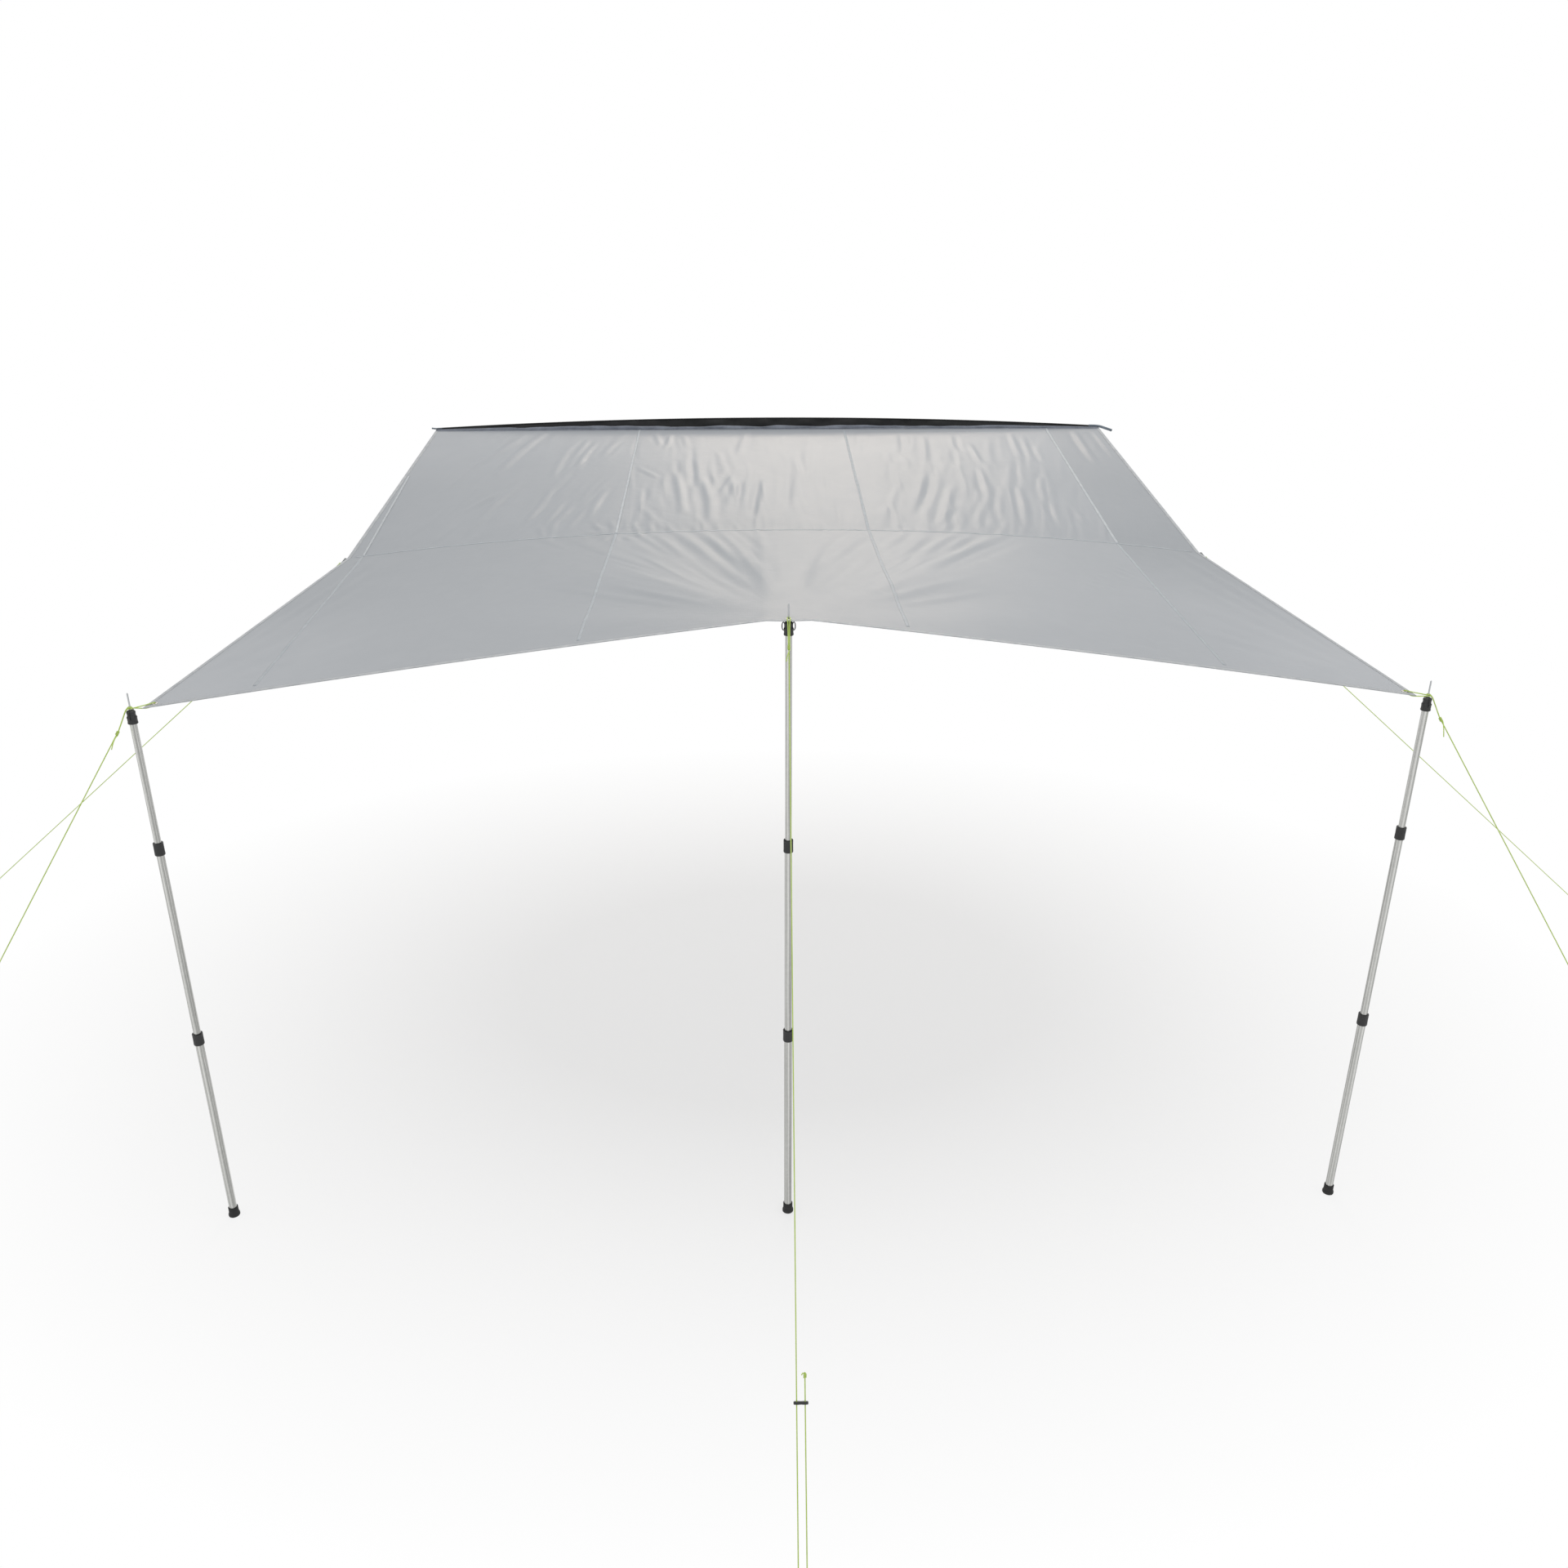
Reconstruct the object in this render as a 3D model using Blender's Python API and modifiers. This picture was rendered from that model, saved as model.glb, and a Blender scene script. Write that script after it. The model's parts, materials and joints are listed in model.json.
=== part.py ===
"""Sun canopy for a caravan awning rail: a coated cloth on three telescopic poles, with five guy lines.

The frame is metres with +Z up. The origin is the middle of the keder bead in the rail, +X runs along
the rail and -Y runs out to the poles. Heights are given above the ground, which is at -RAIL_HEIGHT.
"""

import math

import bmesh
import bpy
import numpy as np
from mathutils import Matrix, Vector

# Canopy
RAIL_HEIGHT = 2.550
RAIL_ARCH = 0.052
REAR_WIDTH = 3.400
KNEE_WIDTH = 3.550
TIP_WIDTH = 4.100
KNEE_REACH = 1.500
CENTRE_REACH = 2.965
TIP_REACH = 2.905
EDGE_HOLLOW = 0.030
KNEE_HEIGHT = 2.180
SEAM_HEIGHT = 2.287
SEAM_DROOP = 2.2
CLOTH = 0.0010
HEM_WIDTH = 0.030
HEM_THICKNESS = 0.0012
HEM_GAP = 0.0008
FOLD_DEPTH = 0.010
FOLD_COUNT = 5
FOLD_REACH = 1.30
CELLS_ACROSS = 29
CELLS_HALF_DEEP = 7

# Keder strip in the rail
BEAD_DIAMETER = 0.0075
FLAP = 0.0012
FLAP_LEAST = 0.006
LEFT_TAIL = 0.022
LEFT_TAIL_RISE = 0.0022
RIGHT_TAIL = 0.070
TAIL_DROP = 0.028
BEAD_STATIONS = 25

# Poles
CENTRE_EYELET_INSET = 0.020
TIP_LOOP_REACH = 0.040
SIDE_PIVOT_HEIGHT = 2.024
CENTRE_PIVOT_HEIGHT = 2.309
BOTTOM_OUTER = 0.0280
MID_OUTER = 0.0250
TOP_OUTER = 0.0220
WALL = 0.0012
BOTTOM_LENGTH = 0.790
UPPER_JOINT_HEIGHT = 1.535
MID_OVERLAP = 0.115
TOP_OVERLAP = 0.106
SIDES = 16
SMALL_SIDES = 12
FIT = 0.0003

# Twist collars and their collets
COLLET_WALL = 0.0012
COLLET_GRIP = 0.014
COLLET_SEAT = 0.022
COLLET_SLOT = 0.002
COLLET_SLOT_DEPTH = 0.010
COLLET_LIP = 0.0077
COLLAR_WALL = 0.0022
COLLAR_LIP = 0.003
COLLAR_PLAY = 0.0015
COLLAR_RUN = 0.0004
FLUTES = 10
FLUTE_DEPTH = 0.0007

# Foot
FOOT_HEIGHT = 0.038
FOOT_SOLE = 0.008
FOOT_BASE_RADIUS = 0.0205
FOOT_WALL = 0.0032
FOOT_FLARE = 0.010
FOOT_EDGE = 0.001
TREAD_DEPTH = 0.0015
TREAD_INNER = 0.0113
TREAD_WIDTH = 0.0043

# Head and spike
HEAD_HEIGHT = 0.046
HEAD_RADIUS = 0.0158
HEAD_NECK_RADIUS = 0.0138
HEAD_TOP_GAP = 0.0045
HEAD_HUB_RADIUS = 0.0060
HEAD_DOME = 0.0030
HEAD_SHOULDER = 0.0075
HEAD_WAIST = 0.0210
HEAD_SKIRT = 0.0235
HEAD_EDGE = 0.0020
HEAD_SOCKET = 0.028
EAR_DROP = 0.0140
EAR_SEAT = 0.0004
EAR_HOLE = 0.0062
EAR_RIM = 0.0022
EAR_THICKNESS = 0.0050
SPIKE_DIAMETER = 0.0050
SPIKE_RISE = 0.052
SPIKE_SEAT = 0.010
SPIKE_NOSE = 0.0040

# Eyelets, tabs and rings
EYELET_BORE = 0.0100
EYELET_NECK = 0.0014
EYELET_FLANGE = 0.0090
EYELET_PLATE = 0.0009
EYELET_GAP = 0.0009
EYELET_INSET = 0.024
TAB_WIDTH = 0.025
TAB_LENGTH = 0.060
TAB_THICKNESS = 0.0016
TAB_GAP = 0.0012
TAB_PLAY = 0.0004
TAB_EYE_OUT = 0.014
RING_WIRE = 0.0040
RING_WIDTH = 0.034
RING_DEPTH = 0.026
RING_CORNER = 0.003

# Guy lines
ROPE = 0.0035
LOOP_GAP = 0.0005
HEAD_LOOP_OUT = 0.045
HEAD_LOOP_DROP = 0.068
LOOP_SIDE_DROP = 0.030
LOOP_SHOULDER_DROP = 0.008
LOOP_STAND_OFF = 0.006
LOOP_LEVEL_ON_LOOP = 0.0043
LOOP_LEVEL_ON_EYELET = 0.0050
KNOT_GAP = 0.0014
KNOT_GROWTH = 2.4
KNOT_LENGTH = 0.016
LEG_GAP = 0.024
TAIL_LENGTH = 0.520
SIDE_PEG = (3.300, 3.450)
CENTRE_PEG = (-0.020, 4.440)
KNEE_PEG = (4.380, 1.200)
RUNNER_FROM_PEG = 0.450
RUNNER_LENGTH = 0.042
RUNNER_WIDTH = 0.014
RUNNER_THICKNESS = 0.007
RUNNER_HOLE = 0.0052
RUNNER_EDGE = 0.0015
PEG_WIRE = 0.0060
PEG_LENGTH = 0.220
PEG_HOOK_RADIUS = 0.009
PEG_POINT = 0.012
PEG_ABOVE = 0.022

GROUND = -RAIL_HEIGHT
KNEE_ROW = 0.5
PLATEAU = 1 / CELLS_ACROSS
SIDE_POLE_X = TIP_WIDTH / 2 + TIP_LOOP_REACH
SIDE_POLE_REACH = TIP_REACH
CENTRE_POLE_REACH = CENTRE_REACH - CENTRE_EYELET_INSET
MID_LENGTH = UPPER_JOINT_HEIGHT - BOTTOM_LENGTH + MID_OVERLAP
TOP_LENGTH = CENTRE_PIVOT_HEIGHT - UPPER_JOINT_HEIGHT + TOP_OVERLAP

COLOURS = {
    "coated_cloth": ((0.52, 0.54, 0.55), 0.62, 0.0),
    "hem_tape": ((0.40, 0.42, 0.44), 0.75, 0.0),
    "keder": ((0.02, 0.02, 0.022), 0.55, 0.0),
    "aluminium": ((0.66, 0.67, 0.66), 0.32, 1.0),
    "black_nylon": ((0.018, 0.018, 0.019), 0.45, 0.0),
    "black_rubber": ((0.022, 0.022, 0.022), 0.80, 0.0),
    "white_acetal": ((0.70, 0.70, 0.68), 0.40, 0.0),
    "steel": ((0.60, 0.60, 0.60), 0.28, 1.0),
    "nickel": ((0.72, 0.70, 0.66), 0.25, 1.0),
    "webbing": ((0.30, 0.31, 0.32), 0.85, 0.0),
    "guy_rope": ((0.62, 0.85, 0.04), 0.70, 0.0),
    "runner_nylon": ((0.02, 0.02, 0.02), 0.50, 0.0),
}


def clear_scene():
    for obj in list(bpy.data.objects):
        bpy.data.objects.remove(obj, do_unlink=True)


def collection(name, hidden=False):
    made = bpy.data.collections.new(name)
    bpy.context.scene.collection.children.link(made)
    made.hide_render = hidden
    return made


def material(name):
    if name in bpy.data.materials:
        return bpy.data.materials[name]
    colour, roughness, metallic = COLOURS[name]
    made = bpy.data.materials.new(name)
    made.use_nodes = True
    shader = made.node_tree.nodes["Principled BSDF"]
    shader.inputs["Base Color"].default_value = (*colour, 1.0)
    shader.inputs["Roughness"].default_value = roughness
    shader.inputs["Metallic"].default_value = metallic
    made.diffuse_color = (*colour, 1.0)
    return made


def place(obj, parts, finish, parent=None, at=(0, 0, 0)):
    """Link a part, give it its finish, and set it on its parent."""
    parts.objects.link(obj)
    obj.data.materials.append(material(finish))
    obj.parent = parent
    obj.location = at
    return obj


def empty(name, parts, at, parent=None):
    obj = bpy.data.objects.new(name, None)
    parts.objects.link(obj)
    obj.parent = parent
    obj.location = at
    return obj


def mesh_object(name, bm, smooth_angle=None):
    bmesh.ops.recalc_face_normals(bm, faces=bm.faces)
    mesh = bpy.data.meshes.new(name)
    bm.to_mesh(mesh)
    bm.free()
    if smooth_angle is not None:
        mesh.shade_smooth()
        mesh.set_sharp_from_angle(angle=math.radians(smooth_angle))
    return bpy.data.objects.new(name, mesh)


def turned(name, profile, steps=SIDES, closed=False):
    """A profile of (radius, height) points, top to bottom on its outer side, turned about Z."""
    mesh = bpy.data.meshes.new(name)
    count = len(profile)
    edges = [(i, i + 1) for i in range(count - 1)]
    if closed:
        edges.append((count - 1, 0))
    mesh.from_pydata([(radius, 0, height) for radius, height in profile], edges, [])
    obj = bpy.data.objects.new(name, mesh)
    screw = obj.modifiers.new("turn", "SCREW")
    screw.steps = steps
    screw.render_steps = steps
    screw.use_merge_vertices = True
    screw.merge_threshold = 0.0001
    screw.use_smooth_shade = True
    return obj


def rope_curve(name, points, diameter, sizes=None, cyclic=False):
    """A round cord along the points, which may swell by the sizes where it is knotted."""
    curve = bpy.data.curves.new(name, "CURVE")
    curve.dimensions = "3D"
    curve.bevel_depth = diameter / 2
    curve.bevel_resolution = 2
    curve.use_fill_caps = not cyclic
    spline = curve.splines.new("POLY")
    spline.points.add(len(points) - 1)
    for index, point in enumerate(points):
        spline.points[index].co = (*point, 1)
        spline.points[index].radius = sizes[index] if sizes else 1
    spline.use_cyclic_u = cyclic
    return bpy.data.objects.new(name, curve)


def smooth_path(points, between, cyclic=False):
    """Points of a smooth curve through the given ones, with this many to a stretch."""
    given = [Vector(p) for p in points]
    count = len(given)
    stretches = count if cyclic else count - 1
    path = []
    for i in range(stretches):
        if cyclic:
            a, b, c, d = (given[(i + k - 1) % count] for k in range(4))
        else:
            a, b, c, d = (given[min(max(i + k - 1, 0), count - 1)] for k in range(4))
        for step in range(between):
            t = step / between
            path.append(
                0.5
                * (
                    2 * b
                    + (c - a) * t
                    + (2 * a - 5 * b + 4 * c - d) * t**2
                    + (3 * b - a - 3 * c + d) * t**3
                )
            )
    if not cyclic:
        path.append(given[-1])
    return path


def as_mesh(obj, parts):
    """The evaluated object as a mesh object of the same name and place, with its caps welded."""
    parts.objects.link(obj)
    graph = bpy.context.evaluated_depsgraph_get()
    mesh = bpy.data.meshes.new_from_object(obj.evaluated_get(graph))
    bm = bmesh.new()
    bm.from_mesh(mesh)
    bmesh.ops.remove_doubles(bm, verts=bm.verts, dist=0.00001)
    bm.to_mesh(mesh)
    bm.free()
    name, matrix = obj.name, obj.matrix_world.copy()
    bpy.data.objects.remove(obj, do_unlink=True)
    made = bpy.data.objects.new(name, mesh)
    made.matrix_world = matrix
    return made


def cutter(obj, cutters):
    cutters.objects.link(obj)
    obj.hide_render = True
    obj.display_type = "WIRE"
    return obj


def boolean(obj, other, operation="DIFFERENCE"):
    made = obj.modifiers.new(operation.lower(), "BOOLEAN")
    made.operation = operation
    made.object = other
    made.solver = "EXACT"


def box_object(name, size, centre=(0, 0, 0)):
    bm = bmesh.new()
    bmesh.ops.create_cube(bm, size=1)
    bmesh.ops.scale(bm, verts=bm.verts, vec=size)
    bmesh.ops.translate(bm, verts=bm.verts, vec=centre)
    return mesh_object(name, bm)


def cylinder_object(name, radius, depth, matrix, segments=SIDES):
    bm = bmesh.new()
    bmesh.ops.create_cone(
        bm, cap_ends=True, segments=segments, radius1=radius, radius2=radius, depth=depth, matrix=matrix
    )
    return mesh_object(name, bm)


def frame_of(origin, x_axis, z_axis):
    """The matrix of a frame at a point, with its Z axis exact and its X axis as near as can be."""
    z = Vector(z_axis).normalized()
    y = z.cross(Vector(x_axis)).normalized()
    x = y.cross(z)
    matrix = Matrix((x, y, z)).transposed().to_4x4()
    matrix.translation = Vector(origin)
    return matrix


def above(height):
    return GROUND + height


def half_width(b):
    """Half the cloth's width in the row b, from 0 at the rail to 1 at the front."""
    if b <= KNEE_ROW:
        return REAR_WIDTH / 2 + (KNEE_WIDTH - REAR_WIDTH) / 2 * b / KNEE_ROW
    return KNEE_WIDTH / 2 + (TIP_WIDTH - KNEE_WIDTH) / 2 * (b - KNEE_ROW) / (1 - KNEE_ROW)


def front_reach(a):
    """How far out the front edge lies at a, from -1 at the left tip to 1 at the right tip."""
    straight = CENTRE_REACH + (TIP_REACH - CENTRE_REACH) * abs(a)
    return straight - EDGE_HOLLOW * 4 * abs(a) * (1 - abs(a))


def reach(a, b):
    if b <= KNEE_ROW:
        return KNEE_REACH * b / KNEE_ROW
    return KNEE_REACH + (front_reach(a) - KNEE_REACH) * (b - KNEE_ROW) / (1 - KNEE_ROW)


def fold(a, b):
    """The broad tension folds that fan out from the centre pole, flat at every edge."""
    x = a * half_width(b)
    back = CENTRE_POLE_REACH - reach(a, b)
    radius = math.hypot(x, back)
    angle = math.atan2(x, back)
    near = math.sin(math.pi * min(radius / FOLD_REACH, 1)) ** 2
    return FOLD_DEPTH * near * math.cos(2 * FOLD_COUNT * angle) * (1 - b) * (1 - a * a) * 4


def seam_height(a):
    return SEAM_HEIGHT - (SEAM_HEIGHT - KNEE_HEIGHT) * abs(a) ** SEAM_DROOP


def front_height(a):
    along = max(0, (abs(a) - PLATEAU) / (1 - PLATEAU))
    return CENTRE_PIVOT_HEIGHT + (SIDE_PIVOT_HEIGHT - CENTRE_PIVOT_HEIGHT) * along


def cloth_point(a, b):
    """The middle of the cloth's thickness at a across and b along."""
    rear = RAIL_HEIGHT - RAIL_ARCH
    if b <= KNEE_ROW:
        height = rear + (seam_height(a) - rear) * b / KNEE_ROW
    else:
        height = seam_height(a) + (front_height(a) - seam_height(a)) * (b - KNEE_ROW) / (1 - KNEE_ROW)
    return Vector((a * half_width(b), -reach(a, b), above(height) + fold(a, b)))


def cloth_frame(a, b, da, db):
    """A frame on the cloth's facet at a and b, with its Z axis square to the cloth."""
    here = cloth_point(a, b)
    across = (cloth_point(a - math.copysign(da, a), b) - here) * (-1 if a >= 0 else 1)
    along = here - cloth_point(a, b - db)
    return frame_of(here, across, along.cross(across))


def rows():
    return [i / (2 * CELLS_HALF_DEEP) for i in range(2 * CELLS_HALF_DEEP + 1)]


def columns():
    return [2 * i / CELLS_ACROSS - 1 for i in range(CELLS_ACROSS + 1)]


def mapped_grid(across, along, point):
    """A grid of cells whose corner (i, j) goes to point(i, j)."""
    bm = bmesh.new()
    bmesh.ops.create_grid(bm, x_segments=across, y_segments=along, size=1)
    for vert in bm.verts:
        i = round((vert.co.x + 1) / 2 * across)
        j = round((vert.co.y + 1) / 2 * along)
        vert.co = point(i, j)
    return bm


def solidify(obj, thickness, offset=0):
    made = obj.modifiers.new("thickness", "SOLIDIFY")
    made.thickness = thickness
    made.offset = offset
    made.use_even_offset = True


def canopy_sheet(parts):
    a_values, b_values = columns(), rows()
    bm = mapped_grid(
        CELLS_ACROSS, 2 * CELLS_HALF_DEEP, lambda i, j: cloth_point(a_values[i], b_values[j])
    )
    obj = place(mesh_object("canopy_sheet", bm, 30), parts, "coated_cloth")
    solidify(obj, CLOTH)
    return obj


def hem_band(parts):
    """The hem tape under the two side edges and the front edge, in one length."""
    shift_a = [HEM_WIDTH / half_width(b) for b in rows()]
    path = [((-1, b), (-1 + da, b)) for b, da in zip(rows(), shift_a)]

    def front_shift(a):
        return HEM_WIDTH * (1 - KNEE_ROW) / (front_reach(a) - KNEE_REACH)

    path[-1] = ((-1, 1), (-1 + shift_a[-1], 1 - front_shift(-1)))
    path += [((a, 1), (a, 1 - front_shift(a))) for a in columns()[1:-1]]
    right = [((1, b), (1 - da, b)) for b, da in zip(rows(), shift_a)]
    right[-1] = ((1, 1), (1 - shift_a[-1], 1 - front_shift(1)))
    path += right[::-1]
    below = Vector((0, 0, CLOTH / 2 + HEM_GAP + HEM_THICKNESS / 2))
    bm = mapped_grid(len(path) - 1, 1, lambda i, j: cloth_point(*path[i][j]) - below)
    obj = place(mesh_object("hem_band", bm, 30), parts, "hem_tape")
    solidify(obj, HEM_THICKNESS)
    return obj


def bead_height(x):
    """The rail's shallow arch: 0 in the middle, and down nearly to the cloth at its corners."""
    return -(RAIL_ARCH - FLAP_LEAST) * (2 * x / REAR_WIDTH) ** 2


def keder_strip(parts):
    """The round bead that slides in the rail, and the flap that joins it to the cloth."""
    half = REAR_WIDTH / 2
    spread = np.linspace(-1, 1, BEAD_STATIONS)
    points = [(half * t, 0, bead_height(half * t)) for t in spread]
    left = (-half - LEFT_TAIL, 0, points[0][2] + LEFT_TAIL_RISE)
    right = (half + RIGHT_TAIL, 0, points[-1][2] - TAIL_DROP)
    bead = as_mesh(rope_curve("keder_bead", [left, *points, right], BEAD_DIAMETER), parts)
    bottom = above(RAIL_HEIGHT - RAIL_ARCH) + CLOTH / 2 + FIT

    def corner(i, j):
        x, _, z = points[i]
        return Vector((x, 0, z if j else bottom))

    bm = mapped_grid(BEAD_STATIONS - 1, 1, corner)
    obj = place(mesh_object("keder_strip", bm, 30), parts, "keder")
    solidify(obj, FLAP)
    return obj, bead


def build_cloth(parts, cutters):
    sheet = canopy_sheet(parts)
    hem = hem_band(parts)
    strip, bead = keder_strip(parts)
    cutter(bead, cutters)
    boolean(strip, bead, "UNION")
    sheet_cell = 2 / CELLS_ACROSS
    row_cell = 1 / (2 * CELLS_HALF_DEEP)
    inset_b = (1 - KNEE_ROW) * EYELET_INSET / (TIP_REACH - KNEE_REACH)
    inset_a = 2 * EYELET_INSET / TIP_WIDTH
    spike_b = 1 - (1 - KNEE_ROW) * (CENTRE_REACH - CENTRE_POLE_REACH) / (CENTRE_REACH - KNEE_REACH)
    eyelets = {
        "centre_eyelet": cloth_frame(0, spike_b, PLATEAU, row_cell),
        "tip_eyelet_left": cloth_frame(-1 + inset_a, 1 - inset_b, -sheet_cell / 2, row_cell),
        "tip_eyelet_right": cloth_frame(1 - inset_a, 1 - inset_b, sheet_cell / 2, row_cell),
    }
    for name, matrix in eyelets.items():
        eyelet(name, matrix, parts)
        hole = EYELET_BORE / 2 + EYELET_NECK + FIT
        boolean(sheet, cutter(cylinder_object(name + "_hole", hole, EYELET_FLANGE, matrix), cutters))
        clearance = EYELET_FLANGE + 2 * FIT
        boolean(hem, cutter(cylinder_object(name + "_hem_hole", clearance, EYELET_FLANGE, matrix), cutters))
    return eyelets


def eyelet(name, matrix, parts):
    """A two-flanged ring clinched through the cloth."""
    bore = EYELET_BORE / 2
    neck = bore + EYELET_NECK
    inner = CLOTH / 2 + EYELET_GAP
    outer = inner + EYELET_PLATE
    profile = [
        (bore, outer),
        (EYELET_FLANGE - EYELET_PLATE / 2, outer),
        (EYELET_FLANGE, inner + EYELET_PLATE / 3),
        (EYELET_FLANGE, inner),
        (neck, inner),
        (neck, -inner),
        (EYELET_FLANGE, -inner),
        (EYELET_FLANGE, -outer),
        (bore, -outer),
    ]
    obj = place(turned(name, profile, SMALL_SIDES, closed=True), parts, "nickel")
    obj.matrix_world = matrix
    return obj


def tube(name, outer, length, parts, parent, top):
    """An open-ended drawn tube that hangs from its top end."""
    bore = outer / 2 - WALL
    profile = [(bore, 0), (outer / 2, 0), (outer / 2, -length), (bore, -length)]
    return place(turned(name, profile, closed=True), parts, "aluminium", parent, (0, 0, top))


def collet(name, tube_outer, inner_outer, parts, cutters, parent, top):
    """The split sleeve on a tube's end that the collar squeezes onto the thinner tube."""
    seat = tube_outer / 2 + FIT
    grip = inner_outer / 2 + FIT
    outer = seat + COLLET_WALL
    profile = [
        (grip, COLLET_GRIP),
        (grip + COLLET_WALL, COLLET_GRIP),
        (outer, COLLET_GRIP - COLLET_LIP),
        (outer, -COLLET_SEAT),
        (seat, -COLLET_SEAT),
        (seat, FIT),
        (grip, FIT),
    ]
    sleeve = turned(name, profile, closed=True)
    obj = place(sleeve, parts, "white_acetal", parent, (0, 0, top))
    for turn in (0, 1):
        size = (3 * outer, COLLET_SLOT, COLLET_SLOT_DEPTH * 2)
        slot = cutter(box_object(name + "_slot" + str(turn), size, (0, 0, COLLET_GRIP)), cutters)
        slot.rotation_euler.z = math.pi / 2 * turn
        slot.parent = parent
        slot.location = (0, 0, top)
        boolean(obj, slot)
    return obj


def collar(name, tube_outer, inner_outer, parts, parent, top):
    """The fluted twist collar that turns over the collet, spun from its section."""
    run = tube_outer / 2 + FIT + COLLET_WALL + COLLAR_RUN
    outer = run + COLLAR_WALL
    high = COLLET_GRIP + COLLAR_PLAY
    low = -COLLET_SEAT - COLLAR_PLAY
    crown = high + COLLAR_LIP
    base = low - COLLAR_LIP
    edge = COLLAR_LIP / 2
    section = [
        (inner_outer / 2 + COLLAR_RUN, high),
        (inner_outer / 2 + COLLAR_RUN, crown),
        (outer - edge, crown),
        (outer, crown - edge),
        (outer, base + 2 * edge),
        (outer - edge, base),
        (tube_outer / 2 + COLLAR_RUN, base),
        (tube_outer / 2 + COLLAR_RUN, low),
        (run, low),
        (run, high),
    ]
    bm = bmesh.new()
    verts = [bm.verts.new((radius, 0, height)) for radius, height in section]
    edges = [bm.edges.new((verts[i], verts[(i + 1) % len(verts)])) for i in range(len(verts))]
    bmesh.ops.spin(
        bm, geom=verts + edges, cent=(0, 0, 0), axis=(0, 0, 1), angle=2 * math.pi, steps=2 * FLUTES,
        use_merge=True,
    )
    for vert in bm.verts:
        turn = round(math.atan2(vert.co.y, vert.co.x) / (math.pi / FLUTES))
        if turn % 2 and abs(math.hypot(vert.co.x, vert.co.y) - outer) < FIT:
            vert.co.xy *= (outer - FLUTE_DEPTH) / outer
    return place(mesh_object(name, bm, 35), parts, "black_nylon", parent, (0, 0, top))


def foot(name, parts, parent):
    """The rubber foot over the bottom tube, with one groove round its sole."""
    seat = BOTTOM_OUTER / 2 + FIT
    rim = seat + FOOT_WALL
    profile = [
        (0, FOOT_SOLE),
        (seat, FOOT_SOLE),
        (seat, FOOT_HEIGHT),
        (rim - FOOT_EDGE, FOOT_HEIGHT),
        (rim, FOOT_HEIGHT - 2 * FOOT_EDGE),
        (rim, FOOT_SOLE + FOOT_FLARE),
        (FOOT_BASE_RADIUS, FOOT_SOLE),
        (FOOT_BASE_RADIUS, FOOT_EDGE),
        (FOOT_BASE_RADIUS - FOOT_EDGE, 0),
        (TREAD_INNER + TREAD_WIDTH, 0),
        (TREAD_INNER + TREAD_WIDTH, TREAD_DEPTH),
        (TREAD_INNER, TREAD_DEPTH),
        (TREAD_INNER, 0),
        (0, 0),
    ]
    return place(turned(name, profile), parts, "black_rubber", parent)


def head_body():
    """The cap's section: hub, dome, waist at the ears and a skirt that fits over the top tube."""
    top = -HEAD_TOP_GAP
    bore = TOP_OUTER / 2 + FIT
    pin = SPIKE_DIAMETER / 2 + FIT
    base = top - HEAD_HEIGHT
    ceiling = base + HEAD_SOCKET
    return [
        (0, top - SPIKE_SEAT),
        (pin, top - SPIKE_SEAT),
        (pin, top),
        (HEAD_HUB_RADIUS, top),
        (HEAD_NECK_RADIUS * 0.80, top - HEAD_DOME),
        (HEAD_NECK_RADIUS, top - HEAD_SHOULDER),
        (HEAD_NECK_RADIUS, top - HEAD_WAIST),
        (HEAD_RADIUS, top - HEAD_SKIRT),
        (HEAD_RADIUS, base + HEAD_EDGE),
        (HEAD_RADIUS - HEAD_EDGE, base),
        (bore, base),
        (bore, ceiling),
        (0, ceiling),
    ]


def head(name, turn, parts, cutters, parent):
    """The black cap on the top tube, with a ring ear on either side."""
    obj = place(turned(name, head_body()), parts, "black_nylon", parent)
    middle = -HEAD_TOP_GAP - EAR_DROP
    hole = EAR_HOLE / 2
    centre = HEAD_NECK_RADIUS + hole + EAR_SEAT
    for side in (-1, 1):
        bm = bmesh.new()
        bmesh.ops.create_cone(
            bm,
            cap_ends=True,
            segments=SMALL_SIDES,
            radius1=hole + EAR_RIM,
            radius2=hole + EAR_RIM,
            depth=EAR_THICKNESS,
        )
        ring = cutter(mesh_object(f"{name}_ear{side}", bm), cutters)
        drill = cylinder_object(
            f"{name}_ear_hole{side}", hole, 3 * EAR_THICKNESS, Matrix(), SMALL_SIDES
        )
        bore = cutter(drill, cutters)
        local = Matrix.Rotation(turn, 4, "Z") @ Matrix.Translation((side * centre, 0, middle))
        for obj_ear in (ring, bore):
            obj_ear.parent = parent
            obj_ear.matrix_local = local @ Matrix.Rotation(math.pi / 2, 4, "X")
        boolean(obj, ring, "UNION")
        boolean(obj, bore)
    return obj


def spike(name, parts, parent):
    """The steel pin that stands in the head and passes through the eyelet or the loops."""
    radius = SPIKE_DIAMETER / 2
    foot_end = -HEAD_TOP_GAP - SPIKE_SEAT + FIT
    profile = [
        (0, SPIKE_RISE),
        (radius * 0.45, SPIKE_RISE - SPIKE_NOSE * 0.10),
        (radius * 0.85, SPIKE_RISE - SPIKE_NOSE * 0.45),
        (radius, SPIKE_RISE - SPIKE_NOSE),
        (radius, foot_end),
        (0, foot_end),
    ]
    return place(turned(name, profile, SMALL_SIDES), parts, "steel", parent)


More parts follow.
